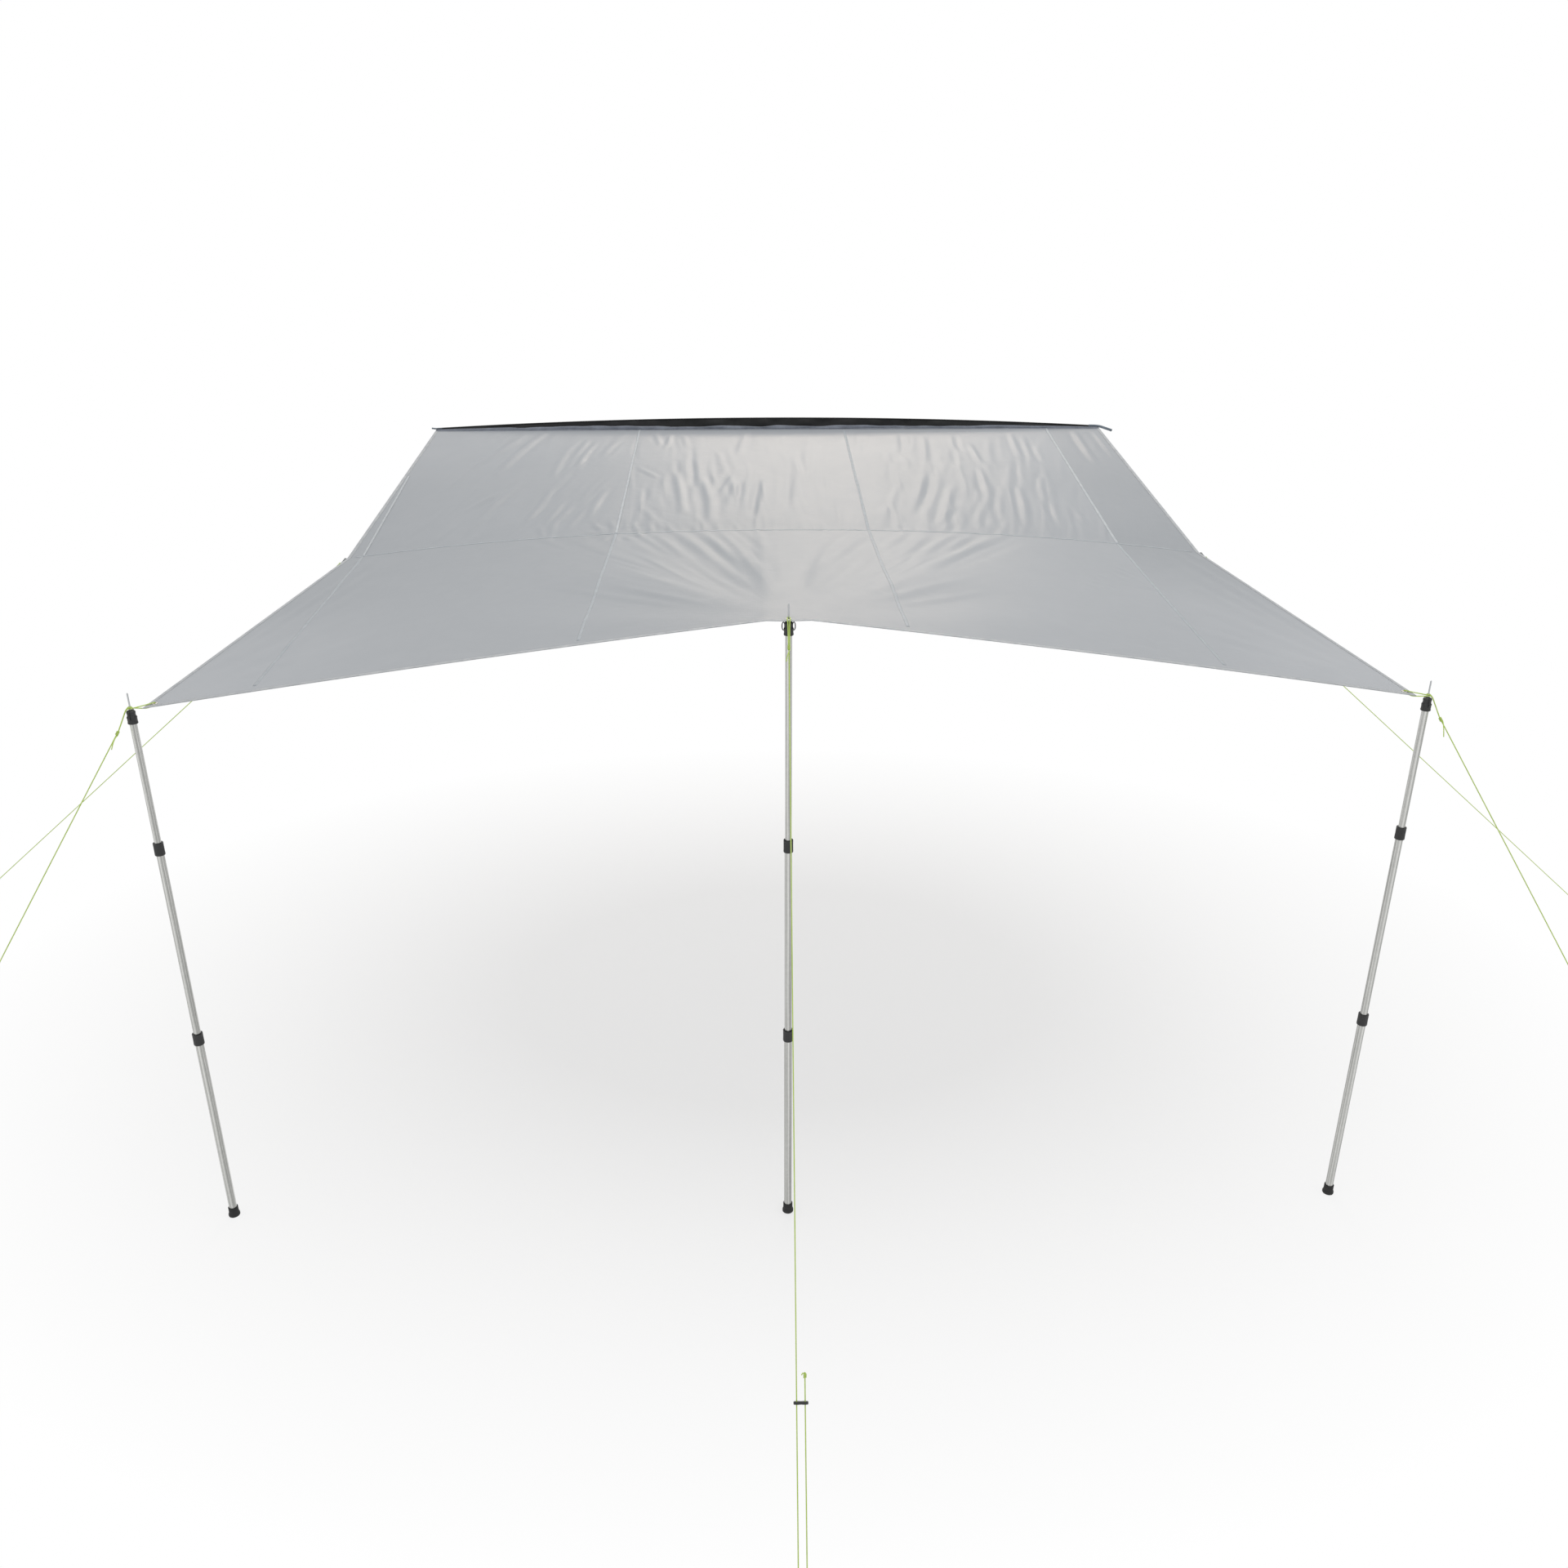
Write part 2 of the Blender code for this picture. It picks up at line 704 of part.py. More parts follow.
def pole(side, pivot, ear_turn, parts, cutters):
    """One three-section pole. Its top body turns at the pivot, and the others slide on the one above."""
    top = empty(f"{side}_pole_top_axis", parts, pivot)
    lift = above(0) - pivot[2]
    mid = empty(f"{side}_pole_mid_axis", parts, (0, 0, lift + UPPER_JOINT_HEIGHT), top)
    drop = UPPER_JOINT_HEIGHT - BOTTOM_LENGTH
    bottom = empty(f"{side}_pole_bottom_axis", parts, (0, 0, -drop), mid)
    name = side + "_pole_"
    head(name + "head", ear_turn, parts, cutters, top)
    spike(name + "spike", parts, top)
    top_end = -HEAD_TOP_GAP - HEAD_HEIGHT + HEAD_SOCKET - FIT
    tube(name + "top_tube", TOP_OUTER, TOP_LENGTH, parts, top, top_end)
    tube(name + "mid_tube", MID_OUTER, MID_LENGTH, parts, mid, 0)
    tube(name + "bottom_tube", BOTTOM_OUTER, BOTTOM_LENGTH - FOOT_SOLE - FIT, parts, bottom, 0)
    collet(name + "upper_collet", MID_OUTER, TOP_OUTER, parts, cutters, mid, 0)
    collet(name + "lower_collet", BOTTOM_OUTER, MID_OUTER, parts, cutters, bottom, 0)
    collar(name + "upper_collar", MID_OUTER, TOP_OUTER, parts, mid, 0)
    collar(name + "lower_collar", BOTTOM_OUTER, MID_OUTER, parts, bottom, 0)
    ground = empty(f"{side}_pole_ground", parts, (0, 0, -BOTTOM_LENGTH), bottom)
    foot(name + "foot", parts, ground)


def head_loop(side, pivot, away, level, over, parts):
    """The doubled rope from the spike over the head to the knot, on the guy line's side."""
    out = Vector((away[0], away[1], 0)).normalized()
    across = Vector((-out.y, out.x, 0))
    up = Vector((0, 0, 1))
    spread = SPIKE_DIAMETER / 2 + ROPE / 2 + LOOP_GAP
    joined = ROPE / 2 + LOOP_GAP / 2
    base = pivot + up * level
    knot = pivot + out * HEAD_LOOP_OUT - up * HEAD_LOOP_DROP
    one_side = [
        knot + across * joined,
        pivot + out * (over + LOOP_STAND_OFF) - up * LOOP_SIDE_DROP + across * joined * 1.2,
        pivot + out * (over + LOOP_STAND_OFF / 4) - up * LOOP_SHOULDER_DROP + across * joined * 1.5,
        base + out * (over - ROPE) - up * LOOP_GAP + across * spread * 0.8,
        base + out * spread * 0.65 + across * spread,
        base + (across - out) * spread * math.sqrt(0.5),
    ]
    other = [p - 2 * across * (p - base).dot(across) for p in one_side]
    points = smooth_path(one_side + [base - out * spread] + other[::-1], 2)
    place(rope_curve("head_loop_" + side, points, ROPE), parts, "guy_rope")
    return knot


def tip_loop(side, matrix, pivot, parts):
    """The short rope ring from the cloth's tip eyelet to the spike."""
    start = matrix.translation
    up = matrix.to_3x3() @ Vector((0, 0, 1))
    along = pivot - start
    flat = (along - up * along.dot(up)).normalized()
    out = Vector((along.x, along.y, 0)).normalized()
    across = Vector((-out.y, out.x, 0))
    spread = SPIKE_DIAMETER / 2 + ROPE / 2 + LOOP_GAP
    over = CLOTH / 2 + EYELET_GAP + EYELET_PLATE + ROPE / 2 + LOOP_GAP
    under = over + HEM_GAP + HEM_THICKNESS
    edge = EYELET_INSET * 1.35
    points = [
        start + up * over,
        start,
        start - up * under,
        start + flat * edge * 0.5 - up * under,
        start + flat * edge - up * under - across * spread * 0.4,
        pivot - across * spread,
        pivot + out * spread,
        pivot + across * spread,
        start + flat * edge + up * over + across * spread * 0.4,
        start + flat * edge * 0.5 + up * over,
    ]
    rope = rope_curve(f"tip_loop_{side}", smooth_path(points, 2, True), ROPE, cyclic=True)
    return place(rope, parts, "guy_rope")


def knee_frame(sign):
    """A frame at the cloth's knee: X outward, Y along the edge and Z square to the cloth."""
    here = cloth_point(sign, KNEE_ROW)
    out = here - cloth_point(sign * (1 - 2 / CELLS_ACROSS), KNEE_ROW)
    row = 1 / (2 * CELLS_HALF_DEEP)
    along = cloth_point(sign, KNEE_ROW + row) - cloth_point(sign, KNEE_ROW - row)
    normal = along.cross(out) * sign
    return frame_of(here, out, normal)


def knee_fittings(side, sign, parts, cutters):
    """The webbing tab under the cloth's knee and the D-ring in its eye. Returns where the guy line starts."""
    matrix = knee_frame(sign)
    under = -(CLOTH / 2 + HEM_GAP + HEM_THICKNESS + TAB_GAP + TAB_THICKNESS / 2)
    bore = RING_WIRE / 2 + TAB_PLAY
    eye = Vector((TAB_EYE_OUT, 0, under))
    size = (TAB_LENGTH, TAB_WIDTH, TAB_THICKNESS)
    tab = box_object(f"knee_tab_{side}", size, (TAB_EYE_OUT - TAB_LENGTH / 2, 0, under))
    place(tab, parts, "webbing")
    lying = Matrix.Translation(eye) @ Matrix.Rotation(math.pi / 2, 4, "X")
    barrel = cylinder_object(f"tab_eye_{side}", bore + TAB_THICKNESS, TAB_WIDTH, lying, SMALL_SIDES)
    hole = cylinder_object(f"tab_hole_{side}", bore, 2 * TAB_WIDTH, lying, SMALL_SIDES)
    for obj in (tab, cutter(barrel, cutters), cutter(hole, cutters)):
        obj.matrix_world = matrix
    boolean(tab, barrel, "UNION")
    boolean(tab, hole)

    centre = matrix @ eye
    edge = matrix.to_3x3() @ Vector((0, 1, 0))
    pull = peg_place(sign * KNEE_PEG[0], KNEE_PEG[1]) - centre
    pull = (pull - edge * pull.dot(edge)).normalized()
    bow = RING_WIDTH / 2
    outline = [(0, RING_CORNER - bow), (0, bow - RING_CORNER)]
    outline += [
        (RING_DEPTH - bow + bow * math.sin(t), bow * math.cos(t)) for t in np.linspace(0, math.pi, 11)
    ]
    points = [centre + pull * x + edge * y for x, y in outline]
    place(rope_curve(f"knee_ring_{side}", points, RING_WIRE, cyclic=True), parts, "steel")
    return centre + pull * (RING_DEPTH + RING_WIRE / 2 + 2 * FIT)


def peg_place(x, out):
    return Vector((x, -out, above(PEG_ABOVE)))


def guy(name, start, target, parts, cutters):
    """A taut guy line with its knot, its runner and its ground peg."""
    run = (target - start).normalized()
    across = Vector((0, 0, 1)).cross(run).normalized()
    rise = run.cross(across)
    turn = LEG_GAP / 2
    peg = target + across * turn
    near = peg + run * (PEG_WIRE / 2 + ROPE / 2 + FIT - turn)
    leg = (near - start).dot(run)
    knot = [0, 0.2 * KNOT_LENGTH, 0.7 * KNOT_LENGTH, KNOT_LENGTH]
    swell = [1.5, KNOT_GROWTH, KNOT_GROWTH, 1]
    points = [start + run * x for x in knot]
    points += [start + run * (KNOT_LENGTH + (leg - KNOT_LENGTH) * t) for t in (0.25, 0.5, 0.75, 1)]
    points += [
        near - across * turn * math.cos(t) + run * turn * math.sin(t)
        for t in np.linspace(0, math.pi, 9)[1:]
    ]
    back = near + across * turn
    points += [back - run * TAIL_LENGTH * t for t in (0.5, 1)]
    sizes = swell + [1] * (len(points) - len(swell))
    points += [back - run * (TAIL_LENGTH + x) for x in (0.25 * KNOT_LENGTH, 0.6 * KNOT_LENGTH)]
    sizes += [KNOT_GROWTH * 0.8, KNOT_GROWTH * 0.8]
    place(rope_curve("guy_line_" + name, points, ROPE, sizes), parts, "guy_rope")
    runner(name, near - run * RUNNER_FROM_PEG, run, across, parts, cutters)
    ground_peg(name, peg, run, rise, parts)


def runner(name, centre, run, across, parts, cutters):
    """The two-hole slide that sets the line's length."""
    matrix = frame_of(centre, across, run)
    size = (RUNNER_LENGTH, RUNNER_WIDTH, RUNNER_THICKNESS)
    obj = place(box_object("guy_runner_" + name, size), parts, "runner_nylon")
    obj.matrix_world = matrix
    edge = obj.modifiers.new("rounded", "BEVEL")
    edge.width = RUNNER_EDGE
    edge.segments = 1
    for side in (-1, 1):
        local = Matrix.Translation((side * LEG_GAP / 2, 0, 0))
        bore = cylinder_object(
            f"{name}_hole{side}", RUNNER_HOLE / 2, 3 * RUNNER_THICKNESS, local, SMALL_SIDES
        )
        cutter(bore, cutters).matrix_world = matrix
        boolean(obj, bore)


def ground_peg(name, peg, run, rise, parts):
    """A pointed steel peg driven in square to the line, with a hook that keeps the line on."""
    bend = peg + rise * PEG_ABOVE + run * PEG_HOOK_RADIUS
    points = [peg - rise * (PEG_LENGTH - PEG_ABOVE - x) for x in (0, PEG_POINT)]
    sizes = [0.15, 1]
    points += [peg - rise * PEG_LENGTH * 0.4, peg + rise * PEG_ABOVE * 0.5]
    points += [
        bend - run * PEG_HOOK_RADIUS * math.cos(t) + rise * PEG_HOOK_RADIUS * math.sin(t)
        for t in np.linspace(0, math.pi, 9)
    ]
    points.append(points[-1] - rise * PEG_HOOK_RADIUS * 0.8)
    sizes += [1] * (len(points) - len(sizes))
    place(rope_curve("ground_peg_" + name, points, PEG_WIRE, sizes), parts, "steel")


def build():
    clear_scene()
    parts = collection("sun_canopy")
    cutters = collection("cutters", hidden=True)
    eyelets = build_cloth(parts, cutters)
    poles = (
        ("left", -SIDE_POLE_X, SIDE_POLE_REACH, SIDE_PIVOT_HEIGHT, math.pi / 2, (-1, SIDE_PEG)),
        ("centre", 0, CENTRE_POLE_REACH, CENTRE_PIVOT_HEIGHT, 0, (1, CENTRE_PEG)),
        ("right", SIDE_POLE_X, SIDE_POLE_REACH, SIDE_PIVOT_HEIGHT, math.pi / 2, (1, SIDE_PEG)),
    )
    for side, x, out, height, ear_turn, (sign, peg) in poles:
        pivot = Vector((x, -out, above(height)))
        pole(side, pivot, ear_turn, parts, cutters)
        target = peg_place(sign * peg[0], peg[1])
        level = LOOP_LEVEL_ON_EYELET if side == "centre" else LOOP_LEVEL_ON_LOOP
        over = CENTRE_REACH - out + ROPE if side == "centre" else HEAD_RADIUS + ROPE
        start = head_loop(side, pivot, target - pivot, level, over, parts)
        guy(side + "_pole", start + (target - start).normalized() * KNOT_GAP, target, parts, cutters)
        if side != "centre":
            tip_loop(side, eyelets["tip_eyelet_" + side], pivot, parts)
            start = knee_fittings(side, sign, parts, cutters)
            knee_target = peg_place(sign * KNEE_PEG[0], KNEE_PEG[1])
            guy(side + "_side", start, knee_target, parts, cutters)


build()
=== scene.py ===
"""Sun canopy, dressed: coated cloth on three telescopic poles, with its keder strip, ropes and pegs.

Metres, +Z up. The origin is the middle of the keder bead, +X runs along the rail, -Y out to the poles.
"""

import json
import math
from functools import partial

import bmesh
import bpy
import numpy as np
from mathutils import Matrix, Vector

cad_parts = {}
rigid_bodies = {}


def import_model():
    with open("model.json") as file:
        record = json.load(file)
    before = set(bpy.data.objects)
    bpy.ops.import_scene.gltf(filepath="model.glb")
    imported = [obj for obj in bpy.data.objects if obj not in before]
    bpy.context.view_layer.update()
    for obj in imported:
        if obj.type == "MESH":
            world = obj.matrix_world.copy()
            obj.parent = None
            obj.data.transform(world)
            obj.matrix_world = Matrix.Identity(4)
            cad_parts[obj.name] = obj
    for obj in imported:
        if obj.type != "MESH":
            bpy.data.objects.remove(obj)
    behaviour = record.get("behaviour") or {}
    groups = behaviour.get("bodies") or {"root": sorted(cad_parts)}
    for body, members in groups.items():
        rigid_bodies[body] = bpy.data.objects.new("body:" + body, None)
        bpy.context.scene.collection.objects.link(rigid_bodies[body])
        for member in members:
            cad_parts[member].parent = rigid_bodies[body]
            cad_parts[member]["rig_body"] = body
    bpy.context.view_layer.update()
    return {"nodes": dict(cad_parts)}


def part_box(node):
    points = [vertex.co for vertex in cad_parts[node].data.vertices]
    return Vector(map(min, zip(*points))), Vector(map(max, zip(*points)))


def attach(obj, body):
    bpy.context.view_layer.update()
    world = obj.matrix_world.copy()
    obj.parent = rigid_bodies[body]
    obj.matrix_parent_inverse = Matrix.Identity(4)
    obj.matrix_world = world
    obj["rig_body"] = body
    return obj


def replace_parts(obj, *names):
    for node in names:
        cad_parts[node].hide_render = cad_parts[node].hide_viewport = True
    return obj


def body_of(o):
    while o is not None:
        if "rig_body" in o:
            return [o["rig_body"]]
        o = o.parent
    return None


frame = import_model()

# The CAD's own measures, in metres
RAIL_HEIGHT, RAIL_ARCH = 2.550, 0.052
REAR_WIDTH, KNEE_WIDTH, TIP_WIDTH = 3.400, 3.550, 4.100
KNEE_REACH, CENTRE_REACH, TIP_REACH = 1.500, 2.965, 2.905
EDGE_HOLLOW = 0.030
KNEE_HEIGHT, SEAM_HEIGHT, SEAM_DROOP = 2.180, 2.287, 2.2
FOLD_DEPTH, FOLD_COUNT, FOLD_REACH = 0.010, 5, 1.30
PLATEAU = 1 / 29
KNEE_ROW = 0.5
CLOTH, HEM_WIDTH = 0.0010, 0.030
BEAD, FLAP_LEAST = 0.0075, 0.006
SIDE_PIVOT_HEIGHT, CENTRE_PIVOT_HEIGHT = 2.024, 2.309
SIDE_POLE_X, CENTRE_POLE_REACH = 2.090, 2.945
BOTTOM_OUTER, MID_OUTER, TOP_OUTER, WALL = 0.0280, 0.0250, 0.0220, 0.0012
BOTTOM_LENGTH, MID_LENGTH, TOP_LENGTH = 0.790, 0.860, 0.880
UPPER_JOINT_HEIGHT = 1.535
FIT = 0.0003
COLLET_WALL, COLLET_TOP, COLLET_BOTTOM = 0.0012, 0.014, -0.022
COLLAR_GAP, COLLAR_WALL = 0.0004, 0.0022
SOLE = 0.008
ROPE, LEG_GAP, TAIL_LENGTH, RUNNER_FROM_PEG = 0.0035, 0.024, 0.520, 0.450
KNOT_OUT, KNOT_DOWN = 0.045, 0.068
PEG_WIRE, PEG_LENGTH, PEG_ABOVE, PEG_HOOK_RADIUS, PEG_POINT = 0.0060, 0.220, 0.022, 0.009, 0.012
SPIKE_DIAMETER, SPIKE_UP, SPIKE_DOWN = 0.0050, 0.052, -0.0142
HEAD_TOP_GAP, HEAD_HEIGHT, HEAD_SOCKET = 0.0045, 0.046, 0.028
HEAD_RADIUS, HEAD_NECK_RADIUS = 0.0158, 0.0138
WEBBING_WIDTH, WEBBING_THICKNESS = 0.025, 0.0011
RING_WIRE, RING_WIDTH, RING_DEPTH = 0.0040, 0.034, 0.026
GROUND = -RAIL_HEIGHT

SEAMS = (-1.710, -0.665, 0.380, 1.425)
POLES = {
    "left": (-SIDE_POLE_X, TIP_REACH, SIDE_PIVOT_HEIGHT, (-3.300, 3.450)),
    "centre": (0.0, CENTRE_POLE_REACH, CENTRE_PIVOT_HEIGHT, (-0.020, 4.440)),
    "right": (SIDE_POLE_X, TIP_REACH, SIDE_PIVOT_HEIGHT, (3.300, 3.450)),
}
SIDES = (("left", -1), ("right", 1))
# The right side line, from its knot at the knee's ring to its peg
KNEE_KNOT, SIDE_PEG = np.array((1.81024, -1.4971, -0.39442)), np.array((4.380, 1.200))


def unit(v):
    v = np.asarray(v, float)
    return v / np.linalg.norm(v)


def run_along(path):
    """The distance along the path at each of its points."""
    return np.concatenate([[0], np.cumsum(np.linalg.norm(np.diff(path, axis=0), axis=1))])


def ease(x):
    x = np.clip(x, 0, 1)
    return x * x * (3 - 2 * x)


def set_camera():
    """The photograph's view: eye height 3.4 m above the ground, looking 22.8 degrees down."""
    data = bpy.data.cameras.new("camera")
    data.lens = 29.81
    data.sensor_width = 36
    camera = bpy.data.objects.new("camera", data)
    camera.location = (-0.132, -6.858, 0.850)
    camera.rotation_euler = (math.radians(67.2), 0, -0.03)
    bpy.context.scene.collection.objects.link(camera)
    bpy.context.scene.camera = camera


# ---------------------------------------------------------------- materials

# Metres from band to band of a wave texture at scale 1: straight bands, and diagonal ones
BANDS = 0.3142
DIAGONALS = 0.6283


def linear(code):
    """An sRGB hex colour as linear RGBA."""
    parts = [int(code[i : i + 2], 16) / 255 for i in (1, 3, 5)]
    return tuple(c / 12.92 if c <= 0.04045 else ((c + 0.055) / 1.055) ** 2.4 for c in parts) + (1.0,)


def add_node(tree, kind, numbered=(), out=0, stops=(), **named):
    """Adds a node and returns one of its outputs.

    Its sockets, by number or capitalised name, take values or the outputs that feed them. The other names
    are its settings, and stops are a ramp's (place, sRGB hex).
    """
    made = tree.nodes.new("ShaderNode" + kind)
    sockets = dict(numbered if isinstance(numbered, dict) else enumerate(numbered))
    for key, value in named.items():
        if key[0].isupper():
            sockets[key.replace("_", " ")] = value
        else:
            setattr(made, key, value)
    for key, value in sockets.items():
        if isinstance(value, bpy.types.NodeSocket):
            tree.links.new(value, made.inputs[key])
        else:
            made.inputs[key].default_value = value
    for element, (place, colour) in zip(made.color_ramp.elements if stops else (), stops):
        element.position = place
        element.color = linear(colour)
    return made.outputs[out]


def new_material(name, **sockets):
    """A material, its constants straight on the shader's sockets, and the call that adds its nodes."""
    made = bpy.data.materials.new(name)
    made.use_nodes = True
    for key, value in sockets.items():
        made.node_tree.nodes["Principled BSDF"].inputs[key.replace("_", " ")].default_value = value
    return made, partial(add_node, made.node_tree)


def feed(made, colour, normal, roughness=None):
    """Links the outputs that feed the material's shader."""
    for key, output in (("Base Color", colour), ("Roughness", roughness), ("Normal", normal)):
        if output is not None:
            made.node_tree.links.new(output, made.node_tree.nodes["Principled BSDF"].inputs[key])
    return made


def coated_polyester():
    """Plain-woven polyester with a silver-grey coating: satin, with fine creases, a faint weave and painted
    light and shade.
    """
    made, add = new_material("coated_polyester_woven", Roughness=0.46, IOR=1.47)
    uv = add("UVMap", uv_map="metres")
    # Yarns are 0.5 mm apart in the real cloth; drawn 4 mm apart so that they show at all.
    yarns = [add("TexWave", out="Fac", Vector=uv, Scale=BANDS / 0.004, bands_direction=way) for way in "XY"]
    weave = add("Math", yarns, operation="MULTIPLY")
    # Crease marks from packing, 20 to 120 mm across.
    marks = add("TexNoise", Vector=uv, Scale=11, Detail=5, Roughness=0.62, Distortion=0.7)
    broad = add("TexNoise", Vector=uv, Scale=2.1, Detail=3)
    # Pull creases, 60 to 90 mm apart and some 0.5 m long, where the cloth is slack.
    pull = add("Mapping", Vector=add("UVMap", uv_map="pull"), Scale=(13, 1.9, 1))
    streaks = add(
        "TexNoise", Vector=pull, Scale=1.0, Detail=2.5, Distortion=0.35, noise_type="RIDGED_MULTIFRACTAL"
    )
    slack = add("Attribute", out="Fac", attribute_name="slack")
    tone = add("Math", [broad, 0.65, 0.17], operation="MULTIPLY_ADD")
    grey = add("ValToRGB", [tone], stops=[(0.30, "#BCC0C5"), (0.70, "#C5C8CC")])
    # Painted light and shade: the shade attribute darkens the grey towards #9CA1A6 where the cloth is painted
    # darker.
    shade = add("Attribute", out="Fac", attribute_name="shade")
    grey_and_painted_shade = add("Mix", {0: shade, 6: grey, 7: linear("#9CA1A6")}, 2, data_type="RGBA")
    gloss = add("MapRange", Value=marks, To_Min=0.40, To_Max=0.54)
    bump = add("Bump", Height=streaks, Distance=0.0095, Strength=slack)
    bump = add("Bump", Height=marks, Distance=0.0022, Strength=0.6, Normal=bump)
    bump = add("Bump", Height=weave, Distance=0.0002, Strength=0.5, Normal=bump)
    return feed(made, grey_and_painted_shade, bump, gloss)


def sewn_tape(name, light, dark, rows, width):
    """Woven tape with lockstitch rows. The stitches are 4 mm long and stand a little proud."""
    made, add = new_material(name, Roughness=0.62, IOR=1.5, Sheen_Weight=0.15)
    uv = add("UVMap", uv_map="metres")
    across = add("SeparateXYZ", [uv])
    along = across.node.outputs[1]
    # Ribs are 1 mm apart in the real tape; drawn 3 mm apart.
    ribs = add("TexWave", out="Fac", Vector=uv, Scale=BANDS / 0.003, Distortion=0.4, bands_direction="Y")
    wear = add("TexNoise", Vector=uv, Scale=30, Detail=4)
    base = add("ValToRGB", [wear], stops=[(0.35, dark), (0.68, light)])
    # The thread is 1.2 mm wide and shows for 3 mm of each 4 mm stitch.
    on_row = 0.0
    for row in rows:
        band = add("Math", [across, row * width, 0.0006], operation="COMPARE")
        on_row = add("Math", [on_row, band], operation="MAXIMUM")
    shown = add("Math", [add("Math", [along, 0.004], operation="MODULO"), 0.003], operation="LESS_THAN")
    stitch = add("Math", [on_row, shown], operation="MULTIPLY")
    thread = add("Mix", {0: stitch, 6: base, 7: linear("#CDD0D1")}, 2, data_type="RGBA")
    bump = add("Bump", Height=ribs, Distance=0.0002, Strength=0.7)
    return feed(made, thread, add("Bump", Height=stitch, Distance=0.0005, Normal=bump))


def coated_keder(name, dark, light, roughness):
    """PVC-coated cloth wrapped tight over a cord: smooth, with dull scuffs from the rail."""
    made, add = new_material(name, Roughness=roughness, IOR=1.52, Specular_IOR_Level=0.3)
    uv = add("UVMap", uv_map="metres")
    scuff = add("TexNoise", Vector=uv, Scale=45, Detail=5, Roughness=0.6)
    colour = add("ValToRGB", [scuff], stops=[(0.38, dark), (0.72, light)])
    dull = add("MapRange", Value=scuff, To_Min=roughness - 0.12, To_Max=roughness + 0.12)
    # The base cloth's threads show through the coating: 1 mm apart, drawn 4 mm apart.
    weave = add("TexWave", out="Fac", Vector=uv, Scale=DIAGONALS / 0.004, bands_direction="DIAGONAL")
    bump = add("Bump", Height=weave, Distance=0.00015, Strength=0.5)
    bump = add("Bump", Height=scuff, Distance=0.0006, Strength=0.5, Normal=bump)
    return feed(made, colour, bump, dull)


def drawn_metal(name, light, dark, roughness, streak, bands=0.0):
    """Metal drawn through a die: fine lines along its length, broad bands of painted reflection, and faint
    handling marks.
    """
    made, add = new_material(name, Metallic=1.0, Roughness=roughness)
    uv = add("UVMap", uv_map="metres")
    # Die lines are under 0.1 mm wide; drawn 0.5 mm wide.
    lines = add("Mapping", Vector=uv, Scale=(2000, streak, 1))
    drawn = add("TexNoise", Vector=lines, Scale=1.0, Detail=3, Roughness=0.6)
    marks = add("TexNoise", Vector=uv, Scale=60, Detail=6, Roughness=0.65)
    faint = add("MapRange", Value=marks, To_Min=0.38, To_Max=0.62)
    tone = add("Math", [drawn, faint], operation="MULTIPLY")
    # Painted reflection: light and dark bands 5 to 15 mm wide run the whole length.
    wide = add("Mapping", Vector=uv, Scale=(120, 0.25, 1))
    band = add("TexNoise", Vector=wide, Scale=1.0, Detail=1.5)
    painted_reflection = add("Math", [band, bands, -bands / 2], operation="MULTIPLY_ADD")
    tone = add("Math", [tone, painted_reflection], operation="ADD")
    colour = add("ValToRGB", [tone], stops=[(0.12, dark), (0.38, light)])
    dull = add("MapRange", Value=marks, To_Min=roughness - 0.07, To_Max=roughness + 0.09)
    return feed(made, colour, add("Bump", Height=drawn, Distance=0.00008, Strength=0.6), dull)


def moulded(name, light, dark, roughness, grain, ior=1.53):
    """Injection-moulded or vulcanised plastic: a fine spark-eroded grain, worn smoother in patches."""
    made, add = new_material(name, Roughness=roughness, IOR=ior)
    place = add("TexCoord", out="Object")
    # The grain is 0.2 mm; drawn at the size given, so that it shows close up.
    fine = add("TexNoise", Vector=place, Scale=1 / grain, Detail=2)
    worn = add("TexNoise", Vector=place, Scale=70, Detail=4, Roughness=0.6)
    colour = add("ValToRGB", [worn], stops=[(0.35, dark), (0.70, light)])
    dull = add("MapRange", Value=worn, To_Min=roughness - 0.10, To_Max=roughness + 0.10)
    return feed(made, colour, add("Bump", Height=fine, Distance=0.0002, Strength=0.45), dull)


def braided_cord():
    """Braided polyester cord in fluorescent yellow-green: a diagonal braid, with painted shade in the gaps
    between strands.
    """
    made, add = new_material("fluorescent_cord_braided", Roughness=0.55, IOR=1.5, Sheen_Weight=0.35)
    uv = add("UVMap", uv_map="metres")
    # The real cord has eight strands each way, 1.4 mm apart along it; drawn as four, 2.8 mm apart.
    waves = []
    for strands in (4, -4):
        size = (strands * DIAGONALS / (math.pi * ROPE), DIAGONALS / 0.0028, 1)
        slant = add("Mapping", Vector=uv, Scale=size)
        waves.append(add("TexWave", out="Fac", Vector=slant, Scale=1.0, bands_direction="DIAGONAL"))
    braid = add("Math", waves, operation="MAXIMUM")
    soil = add("TexNoise", Vector=uv, Scale=40, Detail=3)
    bright = add("ValToRGB", [soil], stops=[(0.3, "#CDEE62"), (0.7, "#E2FA8E")])
    # Painted shade: the gaps between strands are darkened towards #9DBB45.
    painted_gap_shade = add("MapRange", Value=braid, From_Min=0.2, From_Max=0.8, To_Min=0.45, To_Max=0.0)
    colour = add("Mix", {0: painted_gap_shade, 6: bright, 7: linear("#9DBB45")}, 2, data_type="RGBA")
    return feed(made, colour, add("Bump", Height=braid, Distance=0.0004, Strength=0.8))


def seen_directly(add):
    """1 for rays that see the background itself: from the camera, off gloss or through glass."""
    rays = add("LightPath").node.outputs
    seen = add("Math", [rays["Is Camera Ray"], rays["Is Glossy Ray"]], operation="MAXIMUM")
    return add("Math", [seen, rays["Is Transmission Ray"]], operation="MAXIMUM")


